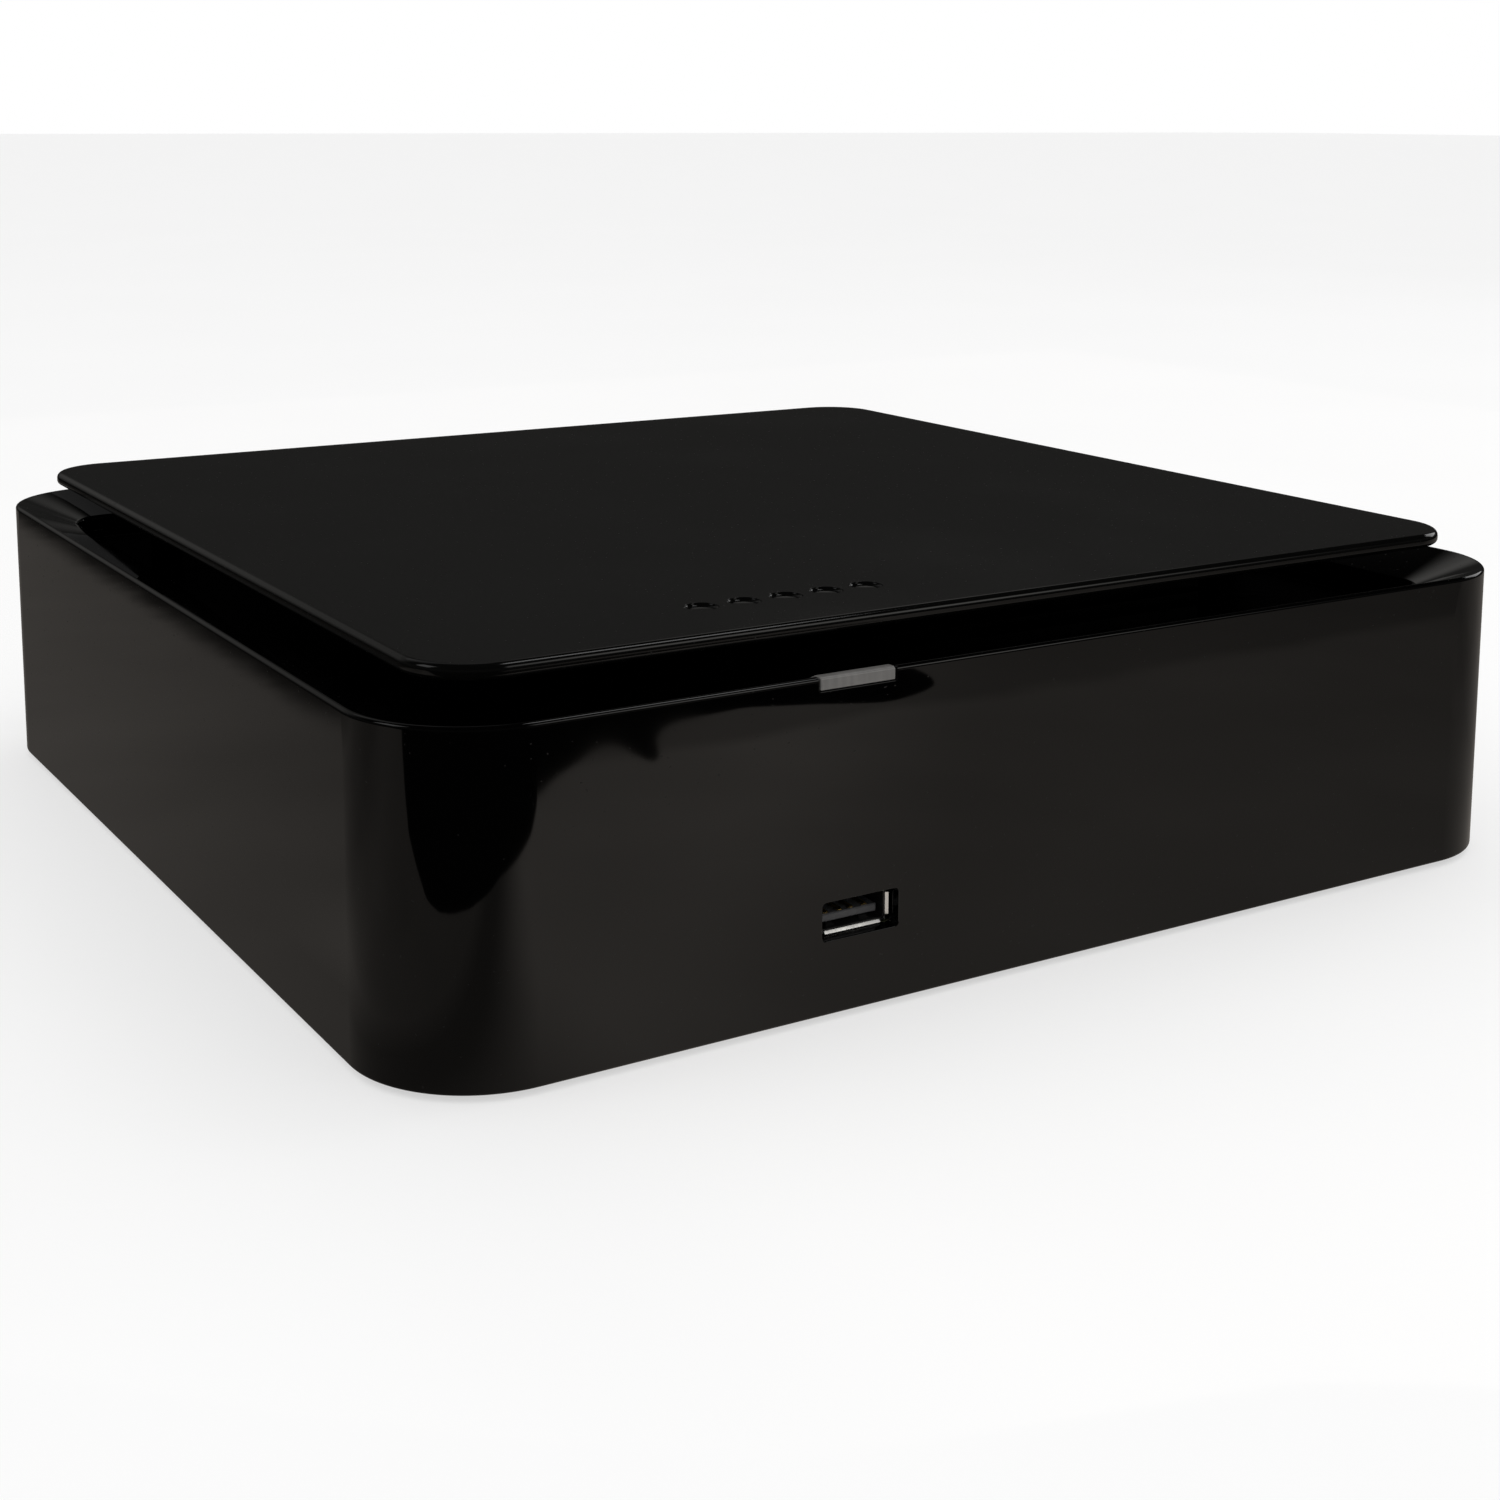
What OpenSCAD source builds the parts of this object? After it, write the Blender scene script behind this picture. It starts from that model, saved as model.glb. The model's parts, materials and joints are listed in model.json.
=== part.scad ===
// Compact desktop computer: a square gloss black casing with a plate floating above its
// dished top, one data port and a lamp at the front, and a connector panel at the rear.
// X runs to the right, Y to the rear and Z up. The origin is under the middle of the casing,
// on the surface that the feet stand on. All sizes are in millimetres.

/* [Casing] */
// Width and depth of the casing over its upright walls
case_w = 220; // [216:1:232]
// Height of the rim above the casing's lower edge
rim_h = 52; // [52:1:60]
// Radius of the upright corners
corner_r = 20; // [19:1:24]
// Thickness of the moulded walls
wall = 2.5; // [2.4:0.1:3]
// Width of the sloping land inside the rim
land_w = 12; // [11:0.5:14]
// Slope of the land in degrees
land_slope = 22; // [18:1:24]
// Depth of the deck below the rim
deck_drop = 8.5; // [8:0.5:9]
// Radius along the rim's outer edge
rim_edge_r = 1.2; // [0.6:0.1:1.6]
// How far the feet stand out below the casing
foot_out = 1; // [0.8:0.1:2]
// Distance of each foot from the casing's middle, along X and Y
foot_reach = 82; // [78:1:86]
// Pitch of the four mounting threads in the base
vesa_pitch = 100; // [75:25:100]

/* [Top plate] */
// Gap between the plate's edge and the casing's outer wall, seen from above
plate_inset = 8.4; // [7:0.1:10]
// Thickness of the plate
plate_t = 2.4; // [2:0.1:3]
// Height of the plate's upper face above the rim
plate_rise = 6.4; // [5:0.1:8]
// Radius along the plate's edges
plate_edge_r = 0.8; // [0.4:0.1:1]
// Distance of each post from the plate's middle line
post_reach = 50; // [40:1:60]
// Number of round dimples in the mark on the plate
dimple_count = 5; // [1:1:5]

/* [Front] */
// Distance of the port to the left of the middle
port_shift = 36.8; // [30:1:40]
// Height of the port's middle above the casing's lower edge
port_rise = 14.6; // [14:0.1:16]
// Width of the lamp
lamp_w = 13.5; // [12:0.5:16]
// Height of the lamp on the front wall
lamp_h = 2.1; // [1.5:0.1:3]

/* [Cooler] */
// Radius of the blower's impeller
impeller_r = 27; // [24:0.5:28]
// Number of impeller blades
blade_count = 31; // [17:2:37]
// Number of heatsink fins
fin_count = 25; // [15:1:29]

/* [Hidden] */

$fn = 64;
fit = 0.2;                              // free gap between neighbouring pieces
eps = 0.01;                             // overlap that keeps a cut clean
half = case_w / 2;
inner = half - wall;                    // inner face of the upright walls
base_z = foot_out;
rim_z = base_z + rim_h;
deck_z = rim_z - deck_drop;             // upper face of the deck
deck_t = 2.2;
plate_z = rim_z + plate_rise - plate_t; // lower face of the plate
port_x = -port_shift;
lamp_x = port_x - 0.9;                   // middle of the lamp
port_z = base_z + port_rise;

// Base cover
cover_gap = 0.3;
cover_t = 2.2;
cover_z = base_z + cover_gap;
cover_top = cover_z + cover_t;
pad_t = 2;                              // extra thickness round a cover screw
boss_reach = half - 17;                 // cover screws, from the middle
screw_r = 1.5;
head_r = 2.8;
head_t = 1.8;
foot_r = 7.5;
foot_seat = 0.9;

// Boards
usb_w = 13.1;                           // standard A receptacle over its metal shell
usb_h = 5.7;
usb_l = 14;
sheet = 0.3;                            // thickness of the connectors' metal shells
usb_axis = 3.5;                         // height of the receptacle's middle above its board
board_t = 1.6;
board_z = port_z - usb_axis;            // upper face of both boards
main_w = 170;
main_d = 170;
main_back = inner - 2;                  // rear edge of the mainboard
main_front = main_back - main_d;
hole_inset = 6.4;
front_w = 52;
front_d = 24;
front_edge = -inner + 0.6;              // front edge of the front board
mouth_y = -inner + 0.1;                 // mouth of the front port, just behind the wall
tongue_set = 1.6;                       // tongue behind the mouth

// Rear panel and its connectors, from left to right
window_w = 160;                         // opening in the rear wall
window_low = base_z + 8;
window_high = base_z + 39;
panel_face = half - 0.6;                // outer face of the rear panel
panel_t = 2;
flange_t = 1.2;
flange_face = panel_face - panel_t;     // rear face of the panel's inner flange
flange_w = 2.5;
rear_mouth = half - 1.1;                // mouth of the rear connectors
jack_x = -70;
lan_x = -50;
audio_x = -32;
rear_usb_x = [-15, 3];
hdmi_x = 22;
reset_x = 37;
power_x = 52;
lock_x = 70;
lan_w = 16;
lan_h = 13.4;
lan_l = 16;
jack_w = 9;
jack_h = 11;
jack_l = 14;
hdmi_w = 15;
hdmi_h = 5.6;
hdmi_l = 11;
hdmi_axis = 3.3;
audio_r = 3;
audio_bore = 1.8;
audio_l = 13;
audio_axis = 3.2;
button_r = 4;
button_z = board_z + 5.2;
button_travel = 0.8;                    // how far the power button goes in
reset_travel = 0.5;                     // how far the reset plunger goes in
reset_z = board_z + 3;

// Cooler
cooler_x = 35;                          // middle line of the blower and the fins
blower_y = -4;                          // impeller axis
blower_half = 34;
cooler_z = board_z + 11;                // underside of the blower and the fin base
cooler_h = 14;
skin = 1;                               // blower case walls
fins_front = blower_y + blower_half + 0.5;
fins_back = inner - flange_t - 1;
fins_w = 64;
cpu_y = 64;
hub_r = 11;
shaft_r = 1.5;
bearing_r = 3.5;

// Drive
drive_w = 69.85;
drive_l = 100.45;
drive_h = 7;
drive_x = -44;
drive_y = -4;
drive_z = board_z + 15;
tray_t = 1;

// smaller places and sizes
land_start = rim_edge_r * (1 + sin(land_slope));
land_start_z = rim_z - rim_edge_r * (1 - cos(land_slope));
mark_x = port_x + 2.2;                  // middle of the plate's row of dimples
mark_y = -half + 25;
dimple_pitch = 7.6;
dimple_r = 2.7;
dimple_deep = 0.5;
insert_r = 2.8;
insert_l = 6;
lamp_depth = 4.6;
lamp_board_y = -inner + 3.5;
lamp_board_z = base_z + 27;
switch_face = inner - flange_t - 3.2;   // rear face of both small switches
memory_y = -19;
ssd_y = 18;
cell_x = -18;
cell_y = 56;
bracket_l = drive_l - 10;
cooler_screw_y = [14, 50];

// ---------------------------------------------------------------- shared shapes

module rounded_square(w, d, r) {
    square([w - 2 * r, d], center = true);
    square([w, d - 2 * r], center = true);
    for (x = [-1, 1], y = [-1, 1])
        translate([x * (w / 2 - r), y * (d / 2 - r)]) circle(r);
}

module slab(w, d, h, r) {
    linear_extrude(h) rounded_square(w, d, r);
}

module block(w, d, h) {
    translate([-w / 2, -d / 2, 0]) cube([w, d, h]);
}

// A slot with round ends, w long and t wide, cut through h.
module round_slot(w, t, h) {
    block(w - t, t, h);
    for (x = [-1, 1]) translate([x * (w - t) / 2, 0, 0]) cylinder(r = t / 2, h = h);
}

// Sweeps a section round a square path with round corners. The section's x is measured
// outward from the corner's centre, and its y is the height.
module sweep_square(reach, r) {
    straight = reach - r;
    for (q = [0:3]) rotate(90 * q) {
        translate([straight, straight, 0]) rotate_extrude(angle = 90) children();
        translate([straight, straight, 0]) rotate([90, 0, 0])
            linear_extrude(2 * straight) children();
    }
}

// Stands a shape drawn in X and Z up, and gives it a length along Y from y on.
module along_y(y, l) {
    translate([0, y + l, 0]) rotate([90, 0, 0]) linear_extrude(l) children();
}

// Extrudes a section drawn in Y and Z along X, over the width w.
module along_x(x, w) {
    translate([x - w / 2, 0, 0]) rotate([90, 0, 90]) linear_extrude(w) children();
}

module at_corners(x, y) {
    for (i = [-1, 1], j = [-1, 1]) translate([i * x, j * y, 0]) children();
}

// A pan head screw whose head rests at z = 0 and whose shank points down.
module screw(l, r = 1.2, head = 2.6, head_h = 1.6) {
    difference() {
        cylinder(r = head, h = head_h);
        translate([0, 0, head_h - 0.9]) {
            block(0.7, 3, 1);
            block(3, 0.7, 1);
        }
    }
    translate([0, 0, -l]) cylinder(r = r, h = l + eps);
}

// ---------------------------------------------------------------- casing

// A point of the rim's section, u inward from the outer wall.
function rim_point(u, z) = [corner_r - u, z];
function land_z(u) = land_start_z - (u - land_start) * tan(land_slope);

module rim_section() {
    edge = rim_edge_r;
    under = wall / cos(land_slope);
    polygon([
        rim_point(0, base_z), rim_point(0, rim_z - edge), rim_point(edge, rim_z - edge),
        rim_point(land_start, land_start_z), rim_point(land_w - edge, land_z(land_w - edge)),
        rim_point(land_w, land_z(land_w) - edge / 2), rim_point(land_w, deck_z - deck_t),
        rim_point(land_w - wall, deck_z - deck_t), rim_point(land_w - wall, land_z(land_w) - under),
        rim_point(wall, land_z(wall) - under), rim_point(wall, base_z)
    ]);
    translate(rim_point(edge, rim_z - edge)) circle(edge);
}

module post_places() {
    reach = half - plate_inset - 10;
    for (q = [0:3]) rotate(90 * q)
        for (x = [-1, 1]) translate([x * post_reach, reach, 0]) children();
}

// The opening for a data port: round corners, cut through a wall that faces Y.
module port_window(w, h, y, l) {
    along_y(y, l) rounded_square(w, h, 0.6);
}

module outer_shell() {
    window_h = window_high - window_low;
    boss_base = cover_top + pad_t + 0.1;
    lamp_boss = 3.4;
    color([0.02, 0.02, 0.022]) difference() {
        union() {
            sweep_square(half, corner_r) rim_section();
            translate([0, 0, deck_z - deck_t])
                slab(case_w - 2 * land_w + 2 * eps, case_w - 2 * land_w + 2 * eps, deck_t,
                     corner_r - land_w + eps);
            at_corners(boss_reach, boss_reach) translate([0, 0, boss_base])
                cylinder(r = 4, h = deck_z - deck_t - boss_base + eps);
            for (x = [-1, 1]) translate([lamp_x + x * 8, -inner - eps, lamp_board_z + 3])
                rotate([-90, 0, 0]) cylinder(r = 1.8, h = lamp_boss + eps);
        }
        at_corners(boss_reach, boss_reach) translate([0, 0, boss_base - eps])
            cylinder(r = 1.25, h = 14);
        for (x = [-1, 1]) translate([lamp_x + x * 8, -inner + 0.4, lamp_board_z + 3])
            rotate([-90, 0, 0]) cylinder(r = 0.8, h = lamp_boss);
        translate([port_x, 0, port_z]) port_window(usb_w + 0.6, usb_h + 0.2, -half - 1, wall + 2);
        translate([lamp_x - lamp_w / 2, -half - 1, rim_z - lamp_h])
            cube([lamp_w, 1 + lamp_depth, lamp_h + 1]);
        translate([lamp_x - lamp_w / 2, -inner, rim_z - lamp_h - 4])
            cube([lamp_w, lamp_depth - wall, 8]);
        translate([0, 0, (window_low + window_high) / 2]) port_window(window_w, window_h,
            inner - 1, wall + 2);
        post_places() translate([0, 0, deck_z - deck_t - 1]) cylinder(r = 1.6, h = deck_t + 2);
        deck_vents();
    }
}

// Rows of slots in the deck, over the whole area under the plate.
module deck_vents() {
    for (y = [-72:9:72]) for (x = [-1, 1])
        translate([x * 42, y, deck_z - deck_t - 1]) round_slot(62, 3, deck_t + 2);
}

module plate_section() {
    r = plate_edge_r;
    c = corner_r - plate_inset;
    for (z = [r, plate_t - r]) translate([c - r, plate_z + z]) circle(r);
    translate([c - 2 * r, plate_z]) square([r, plate_t]);
    translate([c - 2 * r, plate_z + r]) square([2 * r, plate_t - 2 * r]);
}

module top_plate() {
    reach = half - plate_inset;
    post_h = plate_z - deck_z;
    core = 2 * (reach - plate_edge_r);
    color([0.025, 0.025, 0.026]) difference() {
        union() {
            sweep_square(reach, corner_r - plate_inset) plate_section();
            translate([0, 0, plate_z]) slab(core - eps, core - eps, plate_t,
                corner_r - plate_inset - plate_edge_r);
            post_places() {
                translate([0, 0, deck_z]) cylinder(r = 3, h = post_h + eps);
                translate([0, 0, deck_z - deck_t - 1.2]) cylinder(r = 1.5, h = deck_t + 1.2 + eps);
            }
        }
        for (i = [0:dimple_count - 1])
            translate([mark_x + (i - (dimple_count - 1) / 2) * dimple_pitch, mark_y,
                       plate_z + plate_t - dimple_deep])
                cylinder(r = dimple_r, h = dimple_deep + 1);
    }
}

module cover_vents() {
    for (y = [-66:12:66]) for (x = [-1, 1]) {
        near_insert = abs(abs(y) - vesa_pitch / 2) < 8;
        if (!near_insert) translate([x * 30, y, cover_z - 1]) round_slot(34, 3, cover_t + 2);
    }
}

module base_cover() {
    w = 2 * (inner - cover_gap);
    post_z = cover_top - eps;
    color([0.06, 0.06, 0.065]) difference() {
        union() {
            translate([0, 0, cover_z]) slab(w, w, cover_t, corner_r - wall - cover_gap);
            at_corners(boss_reach, boss_reach) translate([0, 0, post_z]) cylinder(r = 5, h = pad_t);
            at_corners(vesa_pitch / 2, vesa_pitch / 2) translate([0, 0, post_z])
                cylinder(r = 4.5, h = insert_l - 0.6);
            board_holes() translate([0, 0, post_z])
                cylinder(r = 3.5, h = board_z - board_t - post_z);
            front_board_holes() translate([0, 0, post_z])
                cylinder(r = 3, h = board_z - board_t - post_z);
        }
        at_corners(boss_reach, boss_reach) {
            translate([0, 0, cover_z - 1]) cylinder(r = head_r + fit, h = 1 + head_t + 0.2);
            translate([0, 0, cover_z]) cylinder(r = screw_r + fit, h = 10);
        }
        at_corners(vesa_pitch / 2, vesa_pitch / 2) translate([0, 0, cover_z - 1])
            cylinder(r = insert_r + 0.02, h = 1 + insert_l + 0.2);
        board_holes() translate([0, 0, board_z - board_t - 6]) cylinder(r = 1.25, h = 7);
        front_board_holes() translate([0, 0, board_z - board_t - 6]) cylinder(r = 1.25, h = 7);
        at_corners(foot_reach, foot_reach) translate([0, 0, cover_z - 1])
            cylinder(r = foot_r + fit, h = 1 + foot_seat);
        cover_vents();
    }
}

module mount_inserts() {
    color([0.72, 0.56, 0.28]) at_corners(vesa_pitch / 2, vesa_pitch / 2)
        translate([0, 0, cover_z + 0.1]) difference() {
            cylinder(r = insert_r, h = insert_l);
            translate([0, 0, -eps]) cylinder(r = 1.65, h = insert_l + 1);
        }
}

module base_screws() {
    color([0.12, 0.12, 0.12]) at_corners(boss_reach, boss_reach)
        translate([0, 0, cover_z + head_t + 0.2]) mirror([0, 0, 1]) screw(12, 1.2, head_r, head_t);
}

// A rubber foot seated in the cover.
module foot(x, y) {
    color([0.07, 0.07, 0.07]) translate([x * foot_reach, y * foot_reach, 0]) {
        cylinder(r1 = foot_r - 0.6, r2 = foot_r, h = 0.6);
        translate([0, 0, 0.6 - eps]) cylinder(r = foot_r, h = cover_z + foot_seat - 0.6 + eps);
    }
}

// The lamp's window fills a notch in the rim, and a stem carries its light up from the LED.
module light_pipe() {
    stem_low = lamp_board_z + 7;
    stem_t = lamp_depth - wall - 2 * fit;
    stem_y = -inner + fit;
    head_low = rim_z - lamp_h + 0.05;
    color([0.75, 0.75, 0.75, 0.8]) {
        along_x(lamp_x, lamp_w - 0.1) polygon([
            [-half, head_low], [-half, rim_z - 0.3], [-half + 0.3, rim_z],
            [-half + 1.6, rim_z], [-half + lamp_depth - 0.05, land_z(lamp_depth) + 0.2],
            [-half + lamp_depth - 0.05, head_low]
        ]);
        along_x(lamp_x, 8) polygon([
            [stem_y, head_low + eps], [stem_y + stem_t, head_low + eps],
            [stem_y + stem_t, stem_low], [stem_y, stem_low + stem_t]
        ]);
    }
}

// ---------------------------------------------------------------- rear panel

module rear_panel() {
    high = window_high - window_low;
    mid = (window_low + window_high) / 2;
    color([0.05, 0.05, 0.052]) difference() {
        union() {
            translate([0, 0, mid]) along_y(panel_face - panel_t - eps, panel_t + eps)
                rounded_square(window_w - 2 * fit, high - 2 * fit, 0.5);
            translate([0, 0, mid]) along_y(flange_face - flange_t, flange_t)
                rounded_square(window_w + 2 * flange_w, high + 2 * flange_w, 2);
        }
        translate([0, 0, board_z]) {
            panel_hole(jack_x, jack_h / 2, jack_w, jack_h);
            panel_hole(lan_x, lan_h / 2, lan_w, lan_h);
            for (x = rear_usb_x) panel_hole(x, usb_axis, usb_w, usb_h);
            panel_hole(hdmi_x, hdmi_axis, hdmi_w, hdmi_h);
        }
        round_panel_hole(audio_x, board_z + audio_axis, audio_r + fit);
        round_panel_hole(power_x, button_z, button_r + fit);
        round_panel_hole(reset_x, reset_z, 0.8);
        translate([lock_x, 0, button_z]) along_y(inner - 3, 8) rounded_square(7, 3, 0.6);
        exhaust_grille();
    }
}

module panel_hole(x, z, w, h) {
    translate([x, 0, z]) along_y(inner - 4, 8) rounded_square(w + 2 * fit, h + 2 * fit, 0.5);
}

module round_panel_hole(x, z, r) {
    translate([x, inner - 4, z]) rotate([-90, 0, 0]) cylinder(r = r, h = 8);
}

// Upright slots in front of the fin stack.
module exhaust_grille() {
    slots = 15;
    pitch = (fins_w - 4) / (slots - 1);
    for (i = [0:slots - 1])
        translate([cooler_x + (i - (slots - 1) / 2) * pitch, 0, cooler_z + cooler_h / 2])
            along_y(inner - 4, 8) rounded_square(2.4, 12, 1.1);
}

// ---------------------------------------------------------------- data and video ports

// The metal shell of a receptacle whose mouth is at y = 0 and which runs to +Y.
module usb_shell() {
    along_y(0, usb_l) difference() {
        rounded_square(usb_w, usb_h, 0.5);
        rounded_square(usb_w - 2 * sheet, usb_h - 2 * sheet, 0.3);
    }
    for (x = [-1, 1]) translate([x * 3, 4, -usb_h / 2 + sheet - eps]) block(1.6, 2.4, 0.25);
    for (x = [-1, 1]) translate([x * (usb_w / 2 - 0.6), 9, -usb_axis]) block(1.2, 2, usb_axis - 2);
}

module usb_tongue() {
    in_w = usb_w - 2 * sheet - 0.1;
    in_h = usb_h - 2 * sheet - 0.1;
    tongue_top = usb_h / 2 - sheet - 0.72;
    translate([0, tongue_set, tongue_top - 1.84]) block_from(10.9, usb_l - tongue_set - 3, 1.84);
    translate([0, usb_l - 3 - eps, -in_h / 2]) block_from(in_w, 2.9, in_h);
}

// A block centred in X that runs from y = 0 to y = d and stands on z = 0.
module block_from(w, d, h) {
    translate([-w / 2, 0, 0]) cube([w, d, h]);
}

module usb_contacts() {
    under = usb_h / 2 - sheet - 0.72 - 1.84;
    for (x = [-3.5, -1, 1, 3.5])
        translate([x, tongue_set + 0.8, under - 0.2]) block_from(1, 7.4, 0.2);
}

module front_usb() {
    translate([port_x, mouth_y, port_z]) children();
}

module front_usb_shell() {
    color([0.75, 0.75, 0.77]) front_usb() usb_shell();
}

module front_usb_tongue() {
    color([0.12, 0.12, 0.13]) front_usb() usb_tongue();
}

module front_usb_contacts() {
    color([0.85, 0.68, 0.3]) front_usb() usb_contacts();
}

// Turns a receptacle round to open to the rear, at each of the two places.
module rear_usbs() {
    for (x = rear_usb_x) translate([x, rear_mouth, board_z + usb_axis]) rotate(180) children();
}

module rear_usb_shells() {
    color([0.75, 0.75, 0.77]) rear_usbs() usb_shell();
}

module rear_usb_tongues() {
    color([0.1, 0.25, 0.6]) rear_usbs() usb_tongue();
}

module rear_usb_contacts() {
    color([0.85, 0.68, 0.3]) rear_usbs() usb_contacts();
}

// The video port's outline: a rectangle with its two lower corners cut off.
module hdmi_outline(w, h) {
    cut = 1.6;
    polygon([
        [-w / 2, h / 2], [w / 2, h / 2], [w / 2, -h / 2 + cut], [w / 2 - cut, -h / 2],
        [-w / 2 + cut, -h / 2], [-w / 2, -h / 2 + cut]
    ]);
}

module hdmi_shell() {
    color([0.75, 0.75, 0.77]) translate([hdmi_x, rear_mouth, board_z + hdmi_axis]) rotate(180) {
        along_y(0, hdmi_l) difference() {
            hdmi_outline(hdmi_w, hdmi_h);
            hdmi_outline(hdmi_w - 2 * sheet - 0.4, hdmi_h - 2 * sheet - 0.4);
        }
        for (x = [-1, 1]) translate([x * (hdmi_w / 2 - 0.6), 7, -hdmi_axis])
            block(1, 2, hdmi_axis - 1);
    }
}

module hdmi_tongue() {
    color([0.08, 0.08, 0.08]) translate([hdmi_x, rear_mouth, board_z + hdmi_axis]) rotate(180) {
        translate([0, 1.2, -0.5]) block_from(11.5, hdmi_l - 2.2, 1.3);
        along_y(hdmi_l - 2, 2) hdmi_outline(hdmi_w - 2 * sheet - 0.6, hdmi_h - 2 * sheet - 0.6);
    }
}

module lan_port() {
    open_w = 11.8;
    open_h = 7;
    open_l = 12;
    color([0.7, 0.7, 0.72]) translate([lan_x, rear_mouth, board_z + 0.1]) rotate(180)
        difference() {
            block_from(lan_w, lan_l, lan_h - 0.1);
            translate([0, -eps, 4.6]) block_from(open_w, open_l, open_h);
            translate([0, -eps, 2.6]) block_from(6.2, open_l, 3);
            translate([0, -eps, 1.4]) block_from(3.4, open_l, 2);
        }
}

module lan_contacts() {
    pitch = 1.02;
    color([0.85, 0.68, 0.3]) translate([lan_x, rear_mouth, board_z + 0.1]) rotate(180)
        for (i = [0:7]) translate([(i - 3.5) * pitch, 0, 0]) along_x(0, 0.45) polygon([
            [2.5, 11.59], [11.9, 9.3], [11.9, 8.9], [2.1, 11.2], [2.1, 11.59]
        ]);
}

module power_jack() {
    color([0.05, 0.05, 0.05]) translate([jack_x, rear_mouth, board_z + 0.05]) rotate(180)
        difference() {
            block_from(jack_w, jack_l, jack_h - 0.05);
            translate([0, -eps, jack_h / 2]) rotate([-90, 0, 0]) cylinder(r = 3.1, h = 10);
            translate([0, 9, jack_h / 2]) rotate([-90, 0, 0]) cylinder(r = 1.05, h = 3);
        }
}

module power_jack_pin() {
    color([0.8, 0.8, 0.8]) translate([jack_x, rear_mouth, board_z + 0.05 + jack_h / 2])
        rotate(180) translate([0, 1, 0]) rotate([-90, 0, 0]) cylinder(r = 1, h = 10.5);
}

module audio_jack() {
    color([0.06, 0.06, 0.06]) translate([audio_x, rear_mouth, board_z + audio_axis]) rotate(180)
        difference() {
            union() {
                rotate([-90, 0, 0]) cylinder(r = audio_r, h = 4);
                translate([0, 3.5, -audio_axis + 0.05]) block_from(7, audio_l - 3.5, 5.6);
            }
            translate([0, -eps, 0]) rotate([-90, 0, 0]) cylinder(r = audio_bore, h = audio_l - 1.5);
        }
}

// ---------------------------------------------------------------- buttons

module power_switch() {
    color([0.2, 0.2, 0.2]) translate([power_x, switch_face, board_z + 0.05])
        difference() {
            translate([0, -5, 0]) block_from(8, 5, 8.2);
            translate([0, -1.5 - button_travel, 5.15]) rotate([-90, 0, 0])
                cylinder(r = 1.8, h = 5);
        }
}

// The cap has a stem that goes down into its switch, and a flange that holds it in the panel.
module power_button() {
    flange_y = flange_face - flange_t - 0.1;
    stem_l = 1.2;
    color([0.03, 0.03, 0.03]) translate([power_x, 0, button_z]) rotate([-90, 0, 0]) {
        translate([0, 0, flange_y]) cylinder(r = button_r, h = panel_face + 0.2 - flange_y);
        translate([0, 0, flange_y - 0.8]) cylinder(r = button_r + 1, h = 0.8 + eps);
        translate([0, 0, switch_face - stem_l])
            cylinder(r = 1.7, h = flange_y - 0.8 - switch_face + stem_l + eps);
    }
}

module reset_switch() {
    color([0.2, 0.2, 0.2]) translate([reset_x, switch_face, board_z + 0.05])
        difference() {
            translate([0, -4, 0]) block_from(6, 4, 6);
            translate([0, -1.5 - reset_travel, 2.95]) rotate([-90, 0, 0])
                cylinder(r = 1.3, h = 4);
        }
}

module reset_plunger() {
    color([0.7, 0.1, 0.1]) translate([reset_x, switch_face - 1.2, reset_z]) rotate([-90, 0, 0])
        cylinder(r = 1.2, h = 2.6);
}

// ---------------------------------------------------------------- boards

module board_holes() {
    mid = (main_front + main_back) / 2;
    translate([0, mid, 0]) at_corners(main_w / 2 - hole_inset, main_d / 2 - hole_inset) children();
}

module front_board_holes() {
    for (x = [-1, 1]) translate([port_x + x * (front_w / 2 - 5), front_edge + front_d - 5, 0])
        children();
}

module mainboard() {
    mid = (main_front + main_back) / 2;
    color([0.05, 0.16, 0.09]) difference() {
        translate([0, mid, board_z - board_t]) slab(main_w, main_d, board_t - 0.02, 2);
        board_holes() translate([0, 0, board_z - board_t - 1]) cylinder(r = 1.6, h = board_t + 2);
    }
}

module board_screws() {
    color([0.75, 0.75, 0.76]) board_holes() translate([0, 0, board_z]) screw(6);
}

module front_board() {
    color([0.05, 0.16, 0.09]) difference() {
        translate([port_x, front_edge + front_d / 2, board_z - board_t])
            slab(front_w, front_d, board_t - 0.02, 1.5);
        front_board_holes() translate([0, 0, board_z - board_t - 1])
            cylinder(r = 1.6, h = board_t + 2);
    }
}

module front_board_screws() {
    color([0.75, 0.75, 0.76]) front_board_holes() translate([0, 0, board_z]) screw(6);
}

// A flat cable with a plug at each end, arched between the two boards.
module front_ribbon() {
    y0 = front_edge + front_d - 3;
    y1 = main_front + 5;
    top = board_z + 6;
    t = 0.4;
    color([0.85, 0.85, 0.82]) {
        for (y = [y0, y1]) translate([port_x, y, board_z + 0.05]) block(18, 4, 3);
        along_x(port_x, 15) polygon([
            [y0 - t / 2, board_z + 3], [y0 - t / 2, top - 1], [y0 + 1, top], [y1 - 1, top],
            [y1 + t / 2, top - 1], [y1 + t / 2, board_z + 3], [y1 - t / 2, board_z + 3],
            [y1 - t / 2, top - 1 - t / 2], [y1 - 1 - t / 2, top - t], [y0 + 1 + t / 2, top - t],
            [y0 + t / 2, top - 1 - t / 2], [y0 + t / 2, board_z + 3]
        ]);
    }
}

// The small upright board behind the front wall that carries the lamp's LED.
module lamp_board() {
    color([0.05, 0.16, 0.09]) difference() {
        translate([lamp_x, lamp_board_y, lamp_board_z]) block_from(22, 1.2, 12);
        for (x = [-1, 1]) translate([lamp_x + x * 8, lamp_board_y - 1, lamp_board_z + 3])
            rotate([-90, 0, 0]) cylinder(r = 1, h = 3);
    }
}

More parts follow.
